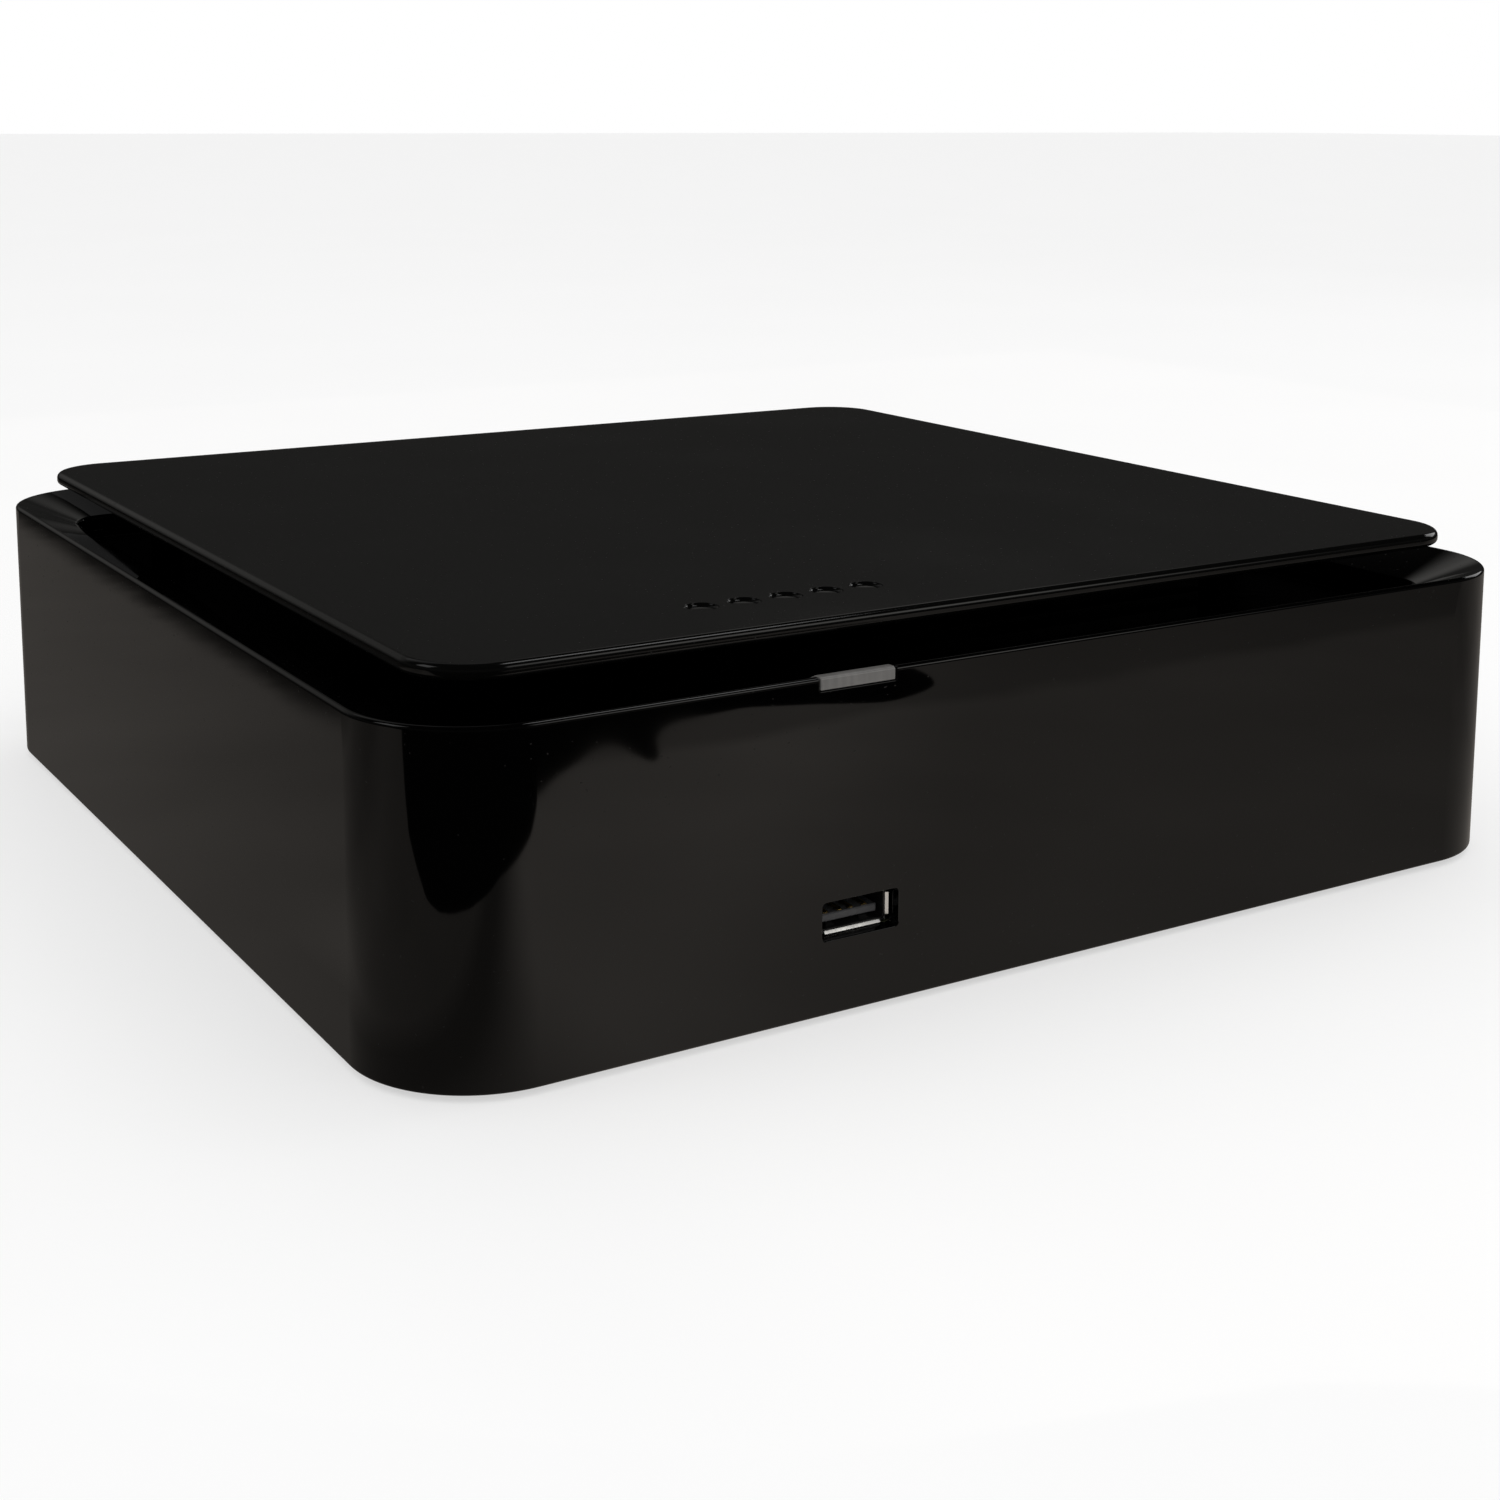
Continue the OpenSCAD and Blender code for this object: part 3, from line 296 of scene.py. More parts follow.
# A brighter copy of the port steel, a painted highlight on shells and lips, and a far darker copy,
# painted shade on the liners.
PAINTED_LIT_STEEL = sheet_metal("painted_lit_steel", (0.88, 0.88, 0.87), (0.74, 0.74, 0.73), 0.26, (1, 0.2, 1))
PAINTED_SHADE_STEEL = sheet_metal("painted_shade_steel", (0.1, 0.1, 0.1), (0.05, 0.05, 0.05), 0.4, (1, 0.1, 1))
LOOKS = {
    "case_black": gloss_black("case_black", (0.0004, 0.0004, 0.0004), 0.024, 1.42,
                              (0.003, 0.003, 0.003)),
    "plate_black": gloss_black("plate_black", (0.0012, 0.0012, 0.0011), 0.07, 1.42,
                               (0.003, 0.003, 0.003)),
    "base_plastic": moulded("base_plastic", (0.012, 0.012, 0.0125), (0.024, 0.024, 0.024), 0.52),
    "panel_plastic": moulded("panel_plastic", (0.01, 0.01, 0.0105), (0.021, 0.021, 0.021), 0.46),
    "lens_plastic": frosted_lens("lens_plastic"),
    "foot_rubber": rubber("foot_rubber"),
    "dark_screw": sheet_metal("dark_screw", (0.07, 0.07, 0.075), (0.03, 0.03, 0.03), 0.4,
                              (1, 1, 0.2)),
    "steel_screw": sheet_metal("steel_screw", (0.62, 0.62, 0.63), (0.4, 0.4, 0.41), 0.3,
                               (1, 1, 0.15)),
    "insert_brass": sheet_metal("insert_brass", (0.62, 0.42, 0.16), (0.36, 0.24, 0.09), 0.32,
                                (1, 1, 0.2)),
    "circuit_board": circuit("circuit_board", (0.006, 0.05, 0.022), (0.45, 0.4, 0.25)),
    "port_steel": sheet_metal("port_steel", (0.66, 0.66, 0.67), (0.45, 0.45, 0.46), 0.24,
                              (1, 0.08, 1)),
    "port_plastic": satin("port_plastic", (0.055, 0.055, 0.057), (0.08, 0.08, 0.082), 0.45),
    "blue_plastic": satin("blue_plastic", (0.012, 0.05, 0.24), (0.02, 0.08, 0.32), 0.42),
    "contact_gold": sheet_metal("contact_gold", (0.83, 0.6, 0.22), (0.6, 0.4, 0.13), 0.22,
                                (1, 0.1, 1)),
    "ribbon_film": satin("ribbon_film", (0.6, 0.6, 0.56), (0.72, 0.71, 0.68), 0.5),
    "led_lens": satin("led_lens", (0.75, 0.68, 0.4), (0.85, 0.8, 0.55), 0.25),
    "chip_black": satin("chip_black", (0.012, 0.012, 0.013), (0.03, 0.03, 0.03), 0.5,
                        size=0.0004, depth=6e-6),
    "chip_lid": satin("chip_lid", (0.018, 0.03, 0.02), (0.035, 0.05, 0.035), 0.36),
    "inductor_grey": satin("inductor_grey", (0.05, 0.05, 0.054), (0.1, 0.1, 0.105), 0.6,
                           size=0.0004, depth=1e-5),
    "can_aluminium": sheet_metal("can_aluminium", (0.6, 0.6, 0.61), (0.42, 0.42, 0.43), 0.34,
                                 (1, 1, 0.1)),
    "cell_steel": sheet_metal("cell_steel", (0.66, 0.66, 0.67), (0.48, 0.48, 0.49), 0.26,
                              (0.2, 1, 1)),
    "button_black": gloss_black("button_black", (0.006, 0.006, 0.006), 0.09, 1.48,
                                (0.02, 0.02, 0.02)),
    "reset_red": satin("reset_red", (0.3, 0.015, 0.01), (0.42, 0.03, 0.02), 0.4),
    "bracket_steel": sheet_metal("bracket_steel", (0.5, 0.5, 0.52), (0.36, 0.36, 0.38), 0.38,
                                 (1, 1, 1), grain=0.004),
    "drive_case": satin("drive_case", (0.5, 0.51, 0.53), (0.62, 0.63, 0.65), 0.42, metal=1.0,
                        size=0.0005, depth=5e-6),
    "cable_black": satin("cable_black", (0.015, 0.015, 0.016), (0.03, 0.03, 0.03), 0.55),
    "copper": sheet_metal("copper", (0.66, 0.32, 0.19), (0.4, 0.18, 0.1), 0.3, (0.1, 1, 1)),
    "fin_aluminium": sheet_metal("fin_aluminium", (0.62, 0.63, 0.64), (0.46, 0.47, 0.48), 0.33,
                                 (1, 0.1, 1)),
    "fan_black": moulded("fan_black", (0.014, 0.014, 0.015), (0.03, 0.03, 0.031), 0.45),
    "sinter_bronze": satin("sinter_bronze", (0.35, 0.22, 0.09), (0.5, 0.34, 0.15), 0.45,
                           metal=1.0, size=0.0003, depth=1e-5),
    "shaft_steel": sheet_metal("shaft_steel", (0.68, 0.68, 0.7), (0.5, 0.5, 0.52), 0.15,
                               (1, 1, 0.1)),
}

# ------------------------------------------------------------------ mesh tools


def made_from(bm, name, slot, replaces=(), look=None):
    """An object from a bmesh whose points are in the row frame, riding on the casing. Its
    finish is its slot's, or look."""
    bmesh.ops.recalc_face_normals(bm, faces=bm.faces)
    mesh = bpy.data.meshes.new(name)
    bm.to_mesh(mesh)
    bm.free()
    for face in mesh.polygons:
        face.use_smooth = True
    piece = bpy.data.objects.new(name, mesh)
    COLLECTION.objects.link(piece)
    mesh.materials.append(look or LOOKS[slot])
    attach(piece, "casing")
    if replaces:
        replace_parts(piece, *replaces)
    return piece


def soften(piece, width, segments=2, angle=35, dissolve=False):
    """Rounds the sharp edges by width metres and keeps the flat faces flat in shading."""
    if dissolve:
        weld = piece.modifiers.new("weld", "WELD")
        weld.merge_threshold = 2e-6
        flat = piece.modifiers.new("flat", "DECIMATE")
        flat.decimate_type = "DISSOLVE"
        flat.angle_limit = math.radians(0.6)
    bevel = piece.modifiers.new("round", "BEVEL")
    bevel.width, bevel.segments = width, segments
    bevel.limit_method = "ANGLE"
    bevel.angle_limit = math.radians(angle)
    bevel.use_clamp_overlap = True
    bevel.harden_normals = False
    bevel.miter_outer = "MITER_ARC"
    shade = piece.modifiers.new("shade", "WEIGHTED_NORMAL")
    shade.keep_sharp = False


def arc(cx, cy, r, start, end, steps):
    """Points on an arc, angles in degrees."""
    turn = [math.radians(start + (end - start) * i / steps) for i in range(steps + 1)]
    return [(cx + r * math.cos(t), cy + r * math.sin(t)) for t in turn]


CORNER_STEPS = 28


def square_path(reach, radius, steps=CORNER_STEPS):
    """The outline of a square with round corners, counter-clockwise."""
    path = []
    for quarter in range(4):
        turn = Matrix.Rotation(math.radians(90 * quarter), 2)
        for x, y in arc(reach - radius, reach - radius, radius, 0, 90, steps):
            path.append(tuple(turn @ Vector((x, y))))
    return path


def swept(section, reach, radius, caps=False):
    """Carries a section of (inset, height) points round a square with round corners.
    The section closes on itself, or ends in two flat caps."""
    bm = bmesh.new()
    rings = [[bm.verts.new((x, y, z)) for x, y in square_path(reach - u, radius - u)]
             for u, z in section]
    count = len(rings[0])
    for i in range(len(rings) - (1 if caps else 0)):
        a, b = rings[i], rings[(i + 1) % len(rings)]
        for k in range(count):
            bm.faces.new((a[k], a[(k + 1) % count], b[(k + 1) % count], b[k]))
    if caps:
        bm.faces.new(rings[0])
        bm.faces.new(rings[-1])
    return bm


def turned(bm, section, place, steps=40):
    """Adds a solid turned about Z from (radius, height) points, closed where radius is 0."""
    rings = []
    for r, h in section:
        if r == 0:
            rings.append([bm.verts.new(Vector((0, 0, h)) + Vector(place))])
            continue
        ring = []
        for k in range(steps):
            t = 2 * math.pi * k / steps
            ring.append(bm.verts.new(Vector((r * math.cos(t), r * math.sin(t), h))
                                     + Vector(place)))
        rings.append(ring)
    for a, b in zip(rings, rings[1:]):
        for k in range(steps):
            n = (k + 1) % steps
            if len(a) == 1:
                bm.faces.new((a[0], b[n], b[k]))
            elif len(b) == 1:
                bm.faces.new((a[k], a[n], b[0]))
            else:
                bm.faces.new((a[k], a[n], b[n], b[k]))


def slot_outline(cx, cy, length, width, steps=8):
    """A slot with round ends, along X."""
    r = width / 2
    half = length / 2 - r
    return arc(cx + half, cy, r, -90, 90, steps) + arc(cx - half, cy, r, 90, 270, steps)


def circle_outline(cx, cy, r, steps=24):
    """A circle, without the first point again at its end."""
    return arc(cx, cy, r, 0, 360 - 360 / steps, steps - 1)


def box_outline(cx, cy, w, h, r=0.0, steps=5):
    """A rectangle, with its corners rounded by r."""
    if r == 0:
        return [(cx - w / 2, cy - h / 2), (cx + w / 2, cy - h / 2),
                (cx + w / 2, cy + h / 2), (cx - w / 2, cy + h / 2)]
    points = []
    for i, (sx, sy) in enumerate(((1, 1), (-1, 1), (-1, -1), (1, -1))):
        points += arc(cx + sx * (w / 2 - r), cy + sy * (h / 2 - r), r, 90 * i, 90 * i + 90, steps)
    return points


def sheet(outline, holes, thickness, edge):
    """A flat sheet with holes, from z = 0 up, its edges rounded by edge. Returns a mesh."""
    curve = bpy.data.curves.new("sheet", "CURVE")
    curve.dimensions, curve.fill_mode = "2D", "BOTH"
    curve.extrude = thickness / 2 - edge
    curve.bevel_depth, curve.bevel_resolution = edge, 2
    curve.offset = -edge
    for loop in [outline, *holes]:
        spline = curve.splines.new("POLY")
        spline.points.add(len(loop) - 1)
        for point, (x, y) in zip(spline.points, loop):
            point.co = (x, y, 0, 1)
        spline.use_cyclic_u = True
    holder = bpy.data.objects.new("sheet", curve)
    COLLECTION.objects.link(holder)
    bpy.context.view_layer.update()
    mesh = bpy.data.meshes.new_from_object(
        holder.evaluated_get(bpy.context.evaluated_depsgraph_get()))
    bpy.data.objects.remove(holder)
    bm = bmesh.new()
    bm.from_mesh(mesh)
    bmesh.ops.translate(bm, vec=(0, 0, thickness / 2), verts=bm.verts)
    bmesh.ops.remove_doubles(bm, verts=bm.verts, dist=1e-6)
    return bm


def prism(bm, outline, y0, y1):
    """Adds a prism whose outline is in X and Z, from y0 to y1."""
    a = [bm.verts.new((x, y0, z)) for x, z in outline]
    b = [bm.verts.new((x, y1, z)) for x, z in outline]
    bm.faces.new(a)
    bm.faces.new(b)
    for k in range(len(a)):
        n = (k + 1) % len(a)
        bm.faces.new((a[k], a[n], b[n], b[k]))
    return bm


def cut(piece, bm):
    """Takes a bmesh away from a piece, for good."""
    bmesh.ops.recalc_face_normals(bm, faces=bm.faces)
    mesh = bpy.data.meshes.new("cutter")
    bm.to_mesh(mesh)
    bm.free()
    tool = bpy.data.objects.new("cutter", mesh)
    COLLECTION.objects.link(tool)
    modifier = piece.modifiers.new("cut", "BOOLEAN")
    modifier.operation, modifier.solver, modifier.object = "DIFFERENCE", "EXACT", tool
    bpy.context.view_layer.update()
    done = bpy.data.meshes.new_from_object(
        piece.evaluated_get(bpy.context.evaluated_depsgraph_get()))
    piece.modifiers.remove(modifier)
    bpy.data.objects.remove(tool)
    piece.data = done
    for face in done.polygons:
        face.use_smooth = True


# ------------------------------------------------------------------ sizes, most from the frame

shell_low, shell_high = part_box("outer_shell")
plate_low, plate_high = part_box("top_plate")
panel_low, panel_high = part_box("rear_panel")
pipe_low, pipe_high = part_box("light_pipe")
front_low, front_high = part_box("front_usb_shell")
HALF = shell_high.x
RIM_Z, BASE_Z = shell_high.z, shell_low.z
CORNER = 20 * MM
WALL = 2.5 * MM
LAND = 12 * MM
SLOPE = math.radians(22)
DECK_Z = RIM_Z - 8.5 * MM
DECK_T = 2.2 * MM
USB_W, USB_H, USB_SKIN, USB_DEEP = 13.1 * MM, 5.7 * MM, 0.3 * MM, 14 * MM
USB_ROUND = 0.5 * MM
PORT_X = (front_low.x + front_high.x) / 2
PORT_Z = front_high.z - USB_H / 2
LAMP_X = (pipe_low.x + pipe_high.x) / 2
MARK_X, MARK_Y = PORT_X + 2.2 * MM, -HALF + 25 * MM
RIM_ROUND = 0.7 * MM
PORT_W, PORT_H, PORT_ROUND = 13.7 * MM, 5.9 * MM, 0.7 * MM
NOTCH_W, NOTCH_H, NOTCH_D = 13.6 * MM, 2.1 * MM, 4.7 * MM
STEM_ROOM = 4 * MM
PANEL_W, PANEL_H = 160 * MM, 31 * MM
PLATE_T = 2.4 * MM


def land_height(inset):
    """The land's height, inset from the outer wall."""
    start = RIM_ROUND * (1 + math.sin(SLOPE))
    return RIM_Z - RIM_ROUND * (1 - math.cos(SLOPE)) - (inset - start) * math.tan(SLOPE)


# ------------------------------------------------------------------ casing


def case_ring():
    """The walls and the sloping land, with the rim's and the deck's roundings."""
    edge, inner_round, foot_round, fillet = RIM_ROUND, 0.8 * MM, 0.5 * MM, 1.2 * MM
    lean = math.degrees(SLOPE)
    touch = LAND - inner_round + inner_round * math.sin(SLOPE)
    inner_z = land_height(touch) - inner_round * math.cos(SLOPE)
    under = WALL / math.cos(SLOPE)
    lip = LAND + 3 * MM
    section = [(WALL, BASE_Z)]
    section += arc(foot_round, BASE_Z + foot_round, foot_round, 270, 180, 5)
    section += arc(edge, RIM_Z - edge, edge, 180, 90 - lean, 8)
    section += arc(LAND - inner_round, inner_z, inner_round, 90 - lean, 0, 6)
    section += arc(LAND + fillet, DECK_Z + fillet, fillet, 180, 270, 6)
    section += [(lip, DECK_Z), (lip, DECK_Z - DECK_T), (LAND - WALL, DECK_Z - DECK_T),
                (LAND - WALL, land_height(LAND) - under), (WALL, land_height(WALL) - under)]
    ring = made_from(swept(section, HALF, CORNER), "case_ring", "case_black",
                     replaces=["outer_shell"])
    clear = 10 * MM
    port = box_outline(PORT_X, PORT_Z, PORT_W, PORT_H, PORT_ROUND)
    cut(ring, prism(bmesh.new(), port, -HALF - clear, -HALF + 2 * WALL))
    notch = box_outline(LAMP_X, RIM_Z, NOTCH_W, 2 * NOTCH_H)
    cut(ring, prism(bmesh.new(), notch, -HALF - clear, -HALF + NOTCH_D))
    deep = [(x, z - (STEM_ROOM if z < RIM_Z else 0)) for x, z in notch]
    cut(ring, prism(bmesh.new(), deep, -HALF + WALL, -HALF + NOTCH_D))
    window = box_outline((panel_low.x + panel_high.x) / 2, (panel_low.z + panel_high.z) / 2,
                         PANEL_W, PANEL_H, PORT_ROUND)
    cut(ring, prism(bmesh.new(), window, HALF - 2 * WALL, HALF + clear))
    soften(ring, 0.22 * MM, 3, 40)


def post_places(reach, spread):
    """Two places near each side of a square, as they repeat at each quarter turn."""
    places = []
    for quarter in range(4):
        turn = Matrix.Rotation(math.radians(90 * quarter), 2)
        for x in (-spread, spread):
            places.append(tuple(turn @ Vector((x, reach))))
    return places


POSTS = post_places(HALF - 18.4 * MM, 50 * MM)
POST_HOLE = 1.6 * MM


def case_deck():
    """The slotted deck inside the land, and the bosses that the base's screws go into."""
    inset = LAND + 2.9 * MM
    reach = HALF - inset
    rows, pitch, middle, length, width = 17, 9 * MM, 42 * MM, 62 * MM, 3 * MM
    slots = [slot_outline(side * middle, (row - (rows - 1) / 2) * pitch, length, width)
             for row in range(rows) for side in (-1, 1)]
    holes = [circle_outline(x, y, POST_HOLE) for x, y in POSTS]
    bm = sheet(square_path(reach, CORNER - inset, 10), slots + holes, DECK_T, 0.35 * MM)
    bmesh.ops.translate(bm, vec=(0, 0, DECK_Z - DECK_T - 0.01 * MM), verts=bm.verts)
    bosses = bmesh.new()
    top, low, out = DECK_Z - DECK_T, BASE_Z + 4.6 * MM, HALF - 17 * MM
    r, bore, bore_top, flare, edge = 4 * MM, 1.25 * MM, top - 20 * MM, 0.4 * MM, 0.3 * MM
    for sx in (-1, 1):
        for sy in (-1, 1):
            turned(bosses, [(bore, bore_top), (bore, low + flare), (bore + flare, low),
                            (r - edge, low), (r, low + edge), (r, top)], (sx * out, sy * out, 0))
    # painted shade: the deck and its bosses take the barely reflecting black
    made_from(bm, "case_deck", "case_black", look=PAINTED_SHADE_BLACK)
    made_from(bosses, "case_bosses", "case_black", look=PAINTED_SHADE_BLACK)


def top_plate():
    """The floating plate with its row of dimples, and the posts that hold it."""
    low, high = plate_high.z - PLATE_T, plate_high.z
    edge, over = 0.8 * MM, 1.15 * MM
    section = arc(edge, low + edge, edge, 270, 180, 6) + arc(over, high - over, over, 180, 90, 8)
    plate = made_from(swept(section, plate_high.x, CORNER - (HALF - plate_high.x), caps=True),
                      "floating_plate", "plate_black", replaces=["top_plate"])
    marks, pitch, radius, depth, fillet = 5, 7.6 * MM, 2.7 * MM, 0.5 * MM, 0.3 * MM
    tools, clear = bmesh.new(), 1 * MM
    for i in range(marks):
        place = (MARK_X + (i - (marks - 1) / 2) * pitch, MARK_Y, high)
        turned(tools, [(0, -depth), (radius - fillet, -depth), (radius, -depth + fillet),
                       (radius, clear), (0, clear)], place, steps=48)
    cut(plate, tools)
    soften(plate, 0.12 * MM, 2, 40)
    posts, foot = bmesh.new(), plate_low.z
    pin, neck, flare, edge = 1.5 * MM, 3 * MM, 4 * MM, 0.3 * MM
    for x, y in POSTS:
        turned(posts, [(0, foot), (pin - edge, foot), (pin, foot + 0.4 * MM), (pin, DECK_Z),
                       (neck - edge, DECK_Z), (neck, DECK_Z + edge), (neck, low - 0.8 * MM),
                       (neck + edge, low - edge), (flare, low + 0.1 * MM),
                       (0, low + 0.2 * MM)], (x, y, 0))
    # painted shade: the posts take the barely reflecting black
    made_from(posts, "plate_posts", "plate_black", look=PAINTED_SHADE_BLACK)


def lamp_window():
    """The frosted bar in the rim's notch, and the ribbed stem below it."""
    wide, depth, thick, flat = 13.25 * MM, 4.45 * MM, 2 * MM, 1.7 * MM
    edge, proud, top = 0.35 * MM, 0.15 * MM, pipe_high.z
    low = top - thick
    x0, x1 = LAMP_X - wide / 2, LAMP_X + wide / 2
    face = [(-HALF, low), (-HALF, top - edge), (-HALF + edge, top), (-HALF + flat, top),
            (-HALF + depth, land_height(depth) + proud), (-HALF + depth, low)]
    bm = bmesh.new()
    left = [bm.verts.new((x0, y, z)) for y, z in face]
    right = [bm.verts.new((x1, y, z)) for y, z in face]
    bm.faces.new(left)
    bm.faces.new(right)
    for k in range(len(face)):
        n = (k + 1) % len(face)
        bm.faces.new((left[k], left[n], right[n], right[k]))
    soften(made_from(bm, "lamp_window", "lens_plastic", replaces=["light_pipe"]), 0.2 * MM, 3, 20)
    lamp_stem(low + 0.2 * MM)


def lamp_stem(top):
    """The light pipe below the window, with round ribs in front, up to top."""
    stem, ribs, width, rib_depth = bmesh.new(), 8, 8 * MM, 0.4
    y0, y1, foot = -HALF + WALL + 0.2 * MM, -HALF + WALL + 1.9 * MM, pipe_low.z
    pitch = width / ribs
    for i in range(ribs):
        x = LAMP_X - width / 2 + i * pitch
        outline = arc(x + pitch / 2, 0, pitch / 2, 180, 0, 6)
        rows = [[stem.verts.new((a, y0 + b * rib_depth, z)) for a, b in outline]
                for z in (foot, top)]
        rows += [[stem.verts.new((a, y1, z)) for a, b in outline]
                 for z in (top, foot + 1.2 * MM)]
        for r in range(4):
            a, b = rows[r], rows[(r + 1) % 4]
            for k in range(len(a) - 1):
                stem.faces.new((a[k], a[k + 1], b[k + 1], b[k]))
        for k in (0, -1):
            stem.faces.new([row[k] for row in rows])
    made_from(stem, "lamp_stem", "lens_plastic")


# ------------------------------------------------------------------ data receptacles

FINE = (0.04 * MM, 2, 25)


def loft(bm, place, rings, ends=True):
    """Skins rings of (across, depth, up) points, which place() carries to the row frame."""
    made = [[bm.verts.new(place(*point)) for point in ring] for ring in rings]
    for p, q in zip(made, made[1:]):
        for k in range(len(p)):
            n = (k + 1) % len(p)
            bm.faces.new((p[k], p[n], q[n], q[k]))
    if ends:
        bm.faces.new(made[0])
        bm.faces.new(made[-1])


def tube(bm, place, inset, start, end):
    """A folded rectangular tube, inset from the receptacle's outside."""
    rings = []
    for grow, depth in ((0, start), (0, end), (USB_SKIN, end), (USB_SKIN, start), (0, start)):
        loop = box_outline(0, 0, USB_W - 2 * (inset + grow), USB_H - 2 * (inset + grow),
                           USB_ROUND - grow)
        rings.append([(a, depth, c) for a, c in loop])
    loft(bm, place, rings, ends=False)


def shell_and_lips(place):
    """The folded shell, with a flared lip on each side of its mouth."""
    bm = bmesh.new()
    tube(bm, place, 0, 0.9 * MM, USB_DEEP)
    lip, curl, root = 0.54 * MM, 0.08 * MM, 1.2 * MM
    for upright, sign in ((False, -1), (False, 1), (True, -1), (True, 1)):
        half = 1.75 * MM if upright else USB_W / 2 - 1.5 * MM
        reach = USB_W / 2 if upright else USB_H / 2
        profile = [(reach - USB_SKIN, root), (reach - lip, 0.6 * MM), (reach - lip, 0.32 * MM),
                   (reach - curl, 0.0), (reach, curl), (reach, root)]
        rings = []
        for along in (-half, half):
            rings.append([(sign * out, depth, along) if upright else (along, depth, sign * out)
                          for out, depth in profile])
        loft(bm, place, rings)
    return bm


def liner_and_springs(place):
    """The shell's inner skin, with two sprung tabs above and two below."""
    bm = bmesh.new()
    tube(bm, place, USB_SKIN, 0.75 * MM, USB_DEEP - 0.2 * MM)
    thick = 0.12 * MM
    steps = ((0.9, 0.0, 1.4), (0.6, 0.5, 2.2), (0.6, 0.5, 2.6), (0.8, 0.0, 5))
    for a in (-3 * MM, 3 * MM):
        for c in (-1, 1):
            rings = []
            for w, lift, depth in steps:
                level = c * (USB_H / 2 - 2 * USB_SKIN - lift * MM + 0.02 * MM)
                rings.append([(a + e * w * MM, depth * MM, level + t * thick)
                              for e, t in ((-1, 0), (1, 0), (1, c), (-1, c))])
            loft(bm, place, rings)
    return bm


def tongue_and_back(place, low, top):
    """The tongue between two heights, and the block that closes the shell's back."""
    bm = bmesh.new()
    start, end, edge, half = 1.7 * MM, USB_DEEP - 1 * MM, 0.2 * MM, 5.4 * MM
    rings = []
    for inset, depth in ((edge, start), (0, start + edge), (0, end)):
        rings.append([(a, depth, c) for a, c in
                      ((-half + inset, low + inset), (half - inset, low + inset),
                       (half - inset, top - inset), (-half + inset, top - inset))])
    loft(bm, place, rings)
    block = box_outline(0, 0, USB_W - 4 * USB_SKIN, USB_H - 4 * USB_SKIN)
    loft(bm, place, [[(a, depth, c) for a, c in block]
                     for depth in (USB_DEEP - 1.2 * MM, USB_DEEP - 0.3 * MM)])
    return bm


def bent_contacts(place, face, up):
    """Four contacts on the tongue's face, each bent into a low hump."""
    bm = bmesh.new()
    half, thick = 0.5 * MM, 0.1 * MM
    steps = ((2.2, 0.05), (2.6, 0.2), (6.2, 0.26), (7.0, 0.55), (7.8, 0.26), (9.6, 0.1))
    for a in (-3.5 * MM, -1 * MM, 1 * MM, 3.5 * MM):
        rings = []
        for depth, rise in steps:
            level = face + up * rise * MM
            rings.append([(a + e * half, depth * MM, level + t * thick)
                          for e, t in ((-1, 0), (1, 0), (1, -up), (-1, -up))])
        loft(bm, place, rings)
    return bm


def receptacle(name, x, z, mouth, side, tongue_slot, up=-1):
    """A standard A receptacle whose mouth faces along side * Y, with its contacts on the
    tongue's face towards up * Z. The upward kind has a thinner tongue."""

    def place(across, depth, height):
        return (x - side * across, mouth - side * depth, z + height)

    face = -0.35 * MM
    low, top = (face - 1.25 * MM, face) if up > 0 else (face, face + 1.84 * MM)
    # painted highlight: the shell and its lips take the brightened copy of the steel
    soften(made_from(shell_and_lips(place), name + "_shell", "port_steel", look=PAINTED_LIT_STEEL), *FINE)
    # painted shade: the liner inside the mouth takes the darkened copy of the steel
    soften(made_from(liner_and_springs(place), name + "_liner", "port_steel", look=PAINTED_SHADE_STEEL),
           *FINE)
    soften(made_from(tongue_and_back(place, low, top), name + "_tongue", tongue_slot), *FINE)
    soften(made_from(bent_contacts(place, face, up), name + "_contacts", "contact_gold"), *FINE)


def receptacles():
    """The front receptacle, set just behind the wall, and the two at the rear."""
    receptacle("front_port", PORT_X, PORT_Z - 0.05 * MM, -HALF + WALL - 0.35 * MM, -1,
               "port_plastic", up=1)
    low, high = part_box("rear_usb_shells")
    for number, x in enumerate((low.x + USB_W / 2, high.x - USB_W / 2)):
        receptacle(f"rear_port_{number}", x, high.z - USB_H / 2, high.y, 1, "blue_plastic")
    for end, kind, plural in (("front_port", "front_usb_", ""), ("rear_port_0", "rear_usb_", "s")):
        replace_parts(bpy.data.objects[end + "_shell"], kind + "shell" + plural)
        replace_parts(bpy.data.objects[end + "_tongue"], kind + "tongue" + plural)
        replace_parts(bpy.data.objects[end + "_contacts"], kind + "contacts")


case_ring()
case_deck()
top_plate()
lamp_window()
receptacles()

# ------------------------------------------------------------------ CAD nodes that stay

SLOTS = {part["node"]: part["material_slot"] for part in frame["record"]["subparts"]}
SOFT = {"base_cover": 0.3, "rear_panel": 0.25, "mainboard": 0.12, "front_board": 0.12,
        "fin_stack": 0.05, "blower_impeller": 0.06}
REPLACED = {name for o in bpy.data.objects for name in o.get("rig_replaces", [])}


def dress(name):
    """Gives a CAD node its finish and rounds its edges."""
    node = frame["nodes"][name]
    node.data.materials.clear()
    node.data.materials.append(LOOKS[SLOTS[name]])
    soften(node, SOFT.get(name, 0.1) * MM, 2, 40, dissolve=True)


for part in sorted(SLOTS):
    if part not in REPLACED:
        dress(part)

# ------------------------------------------------------------------ stage and light


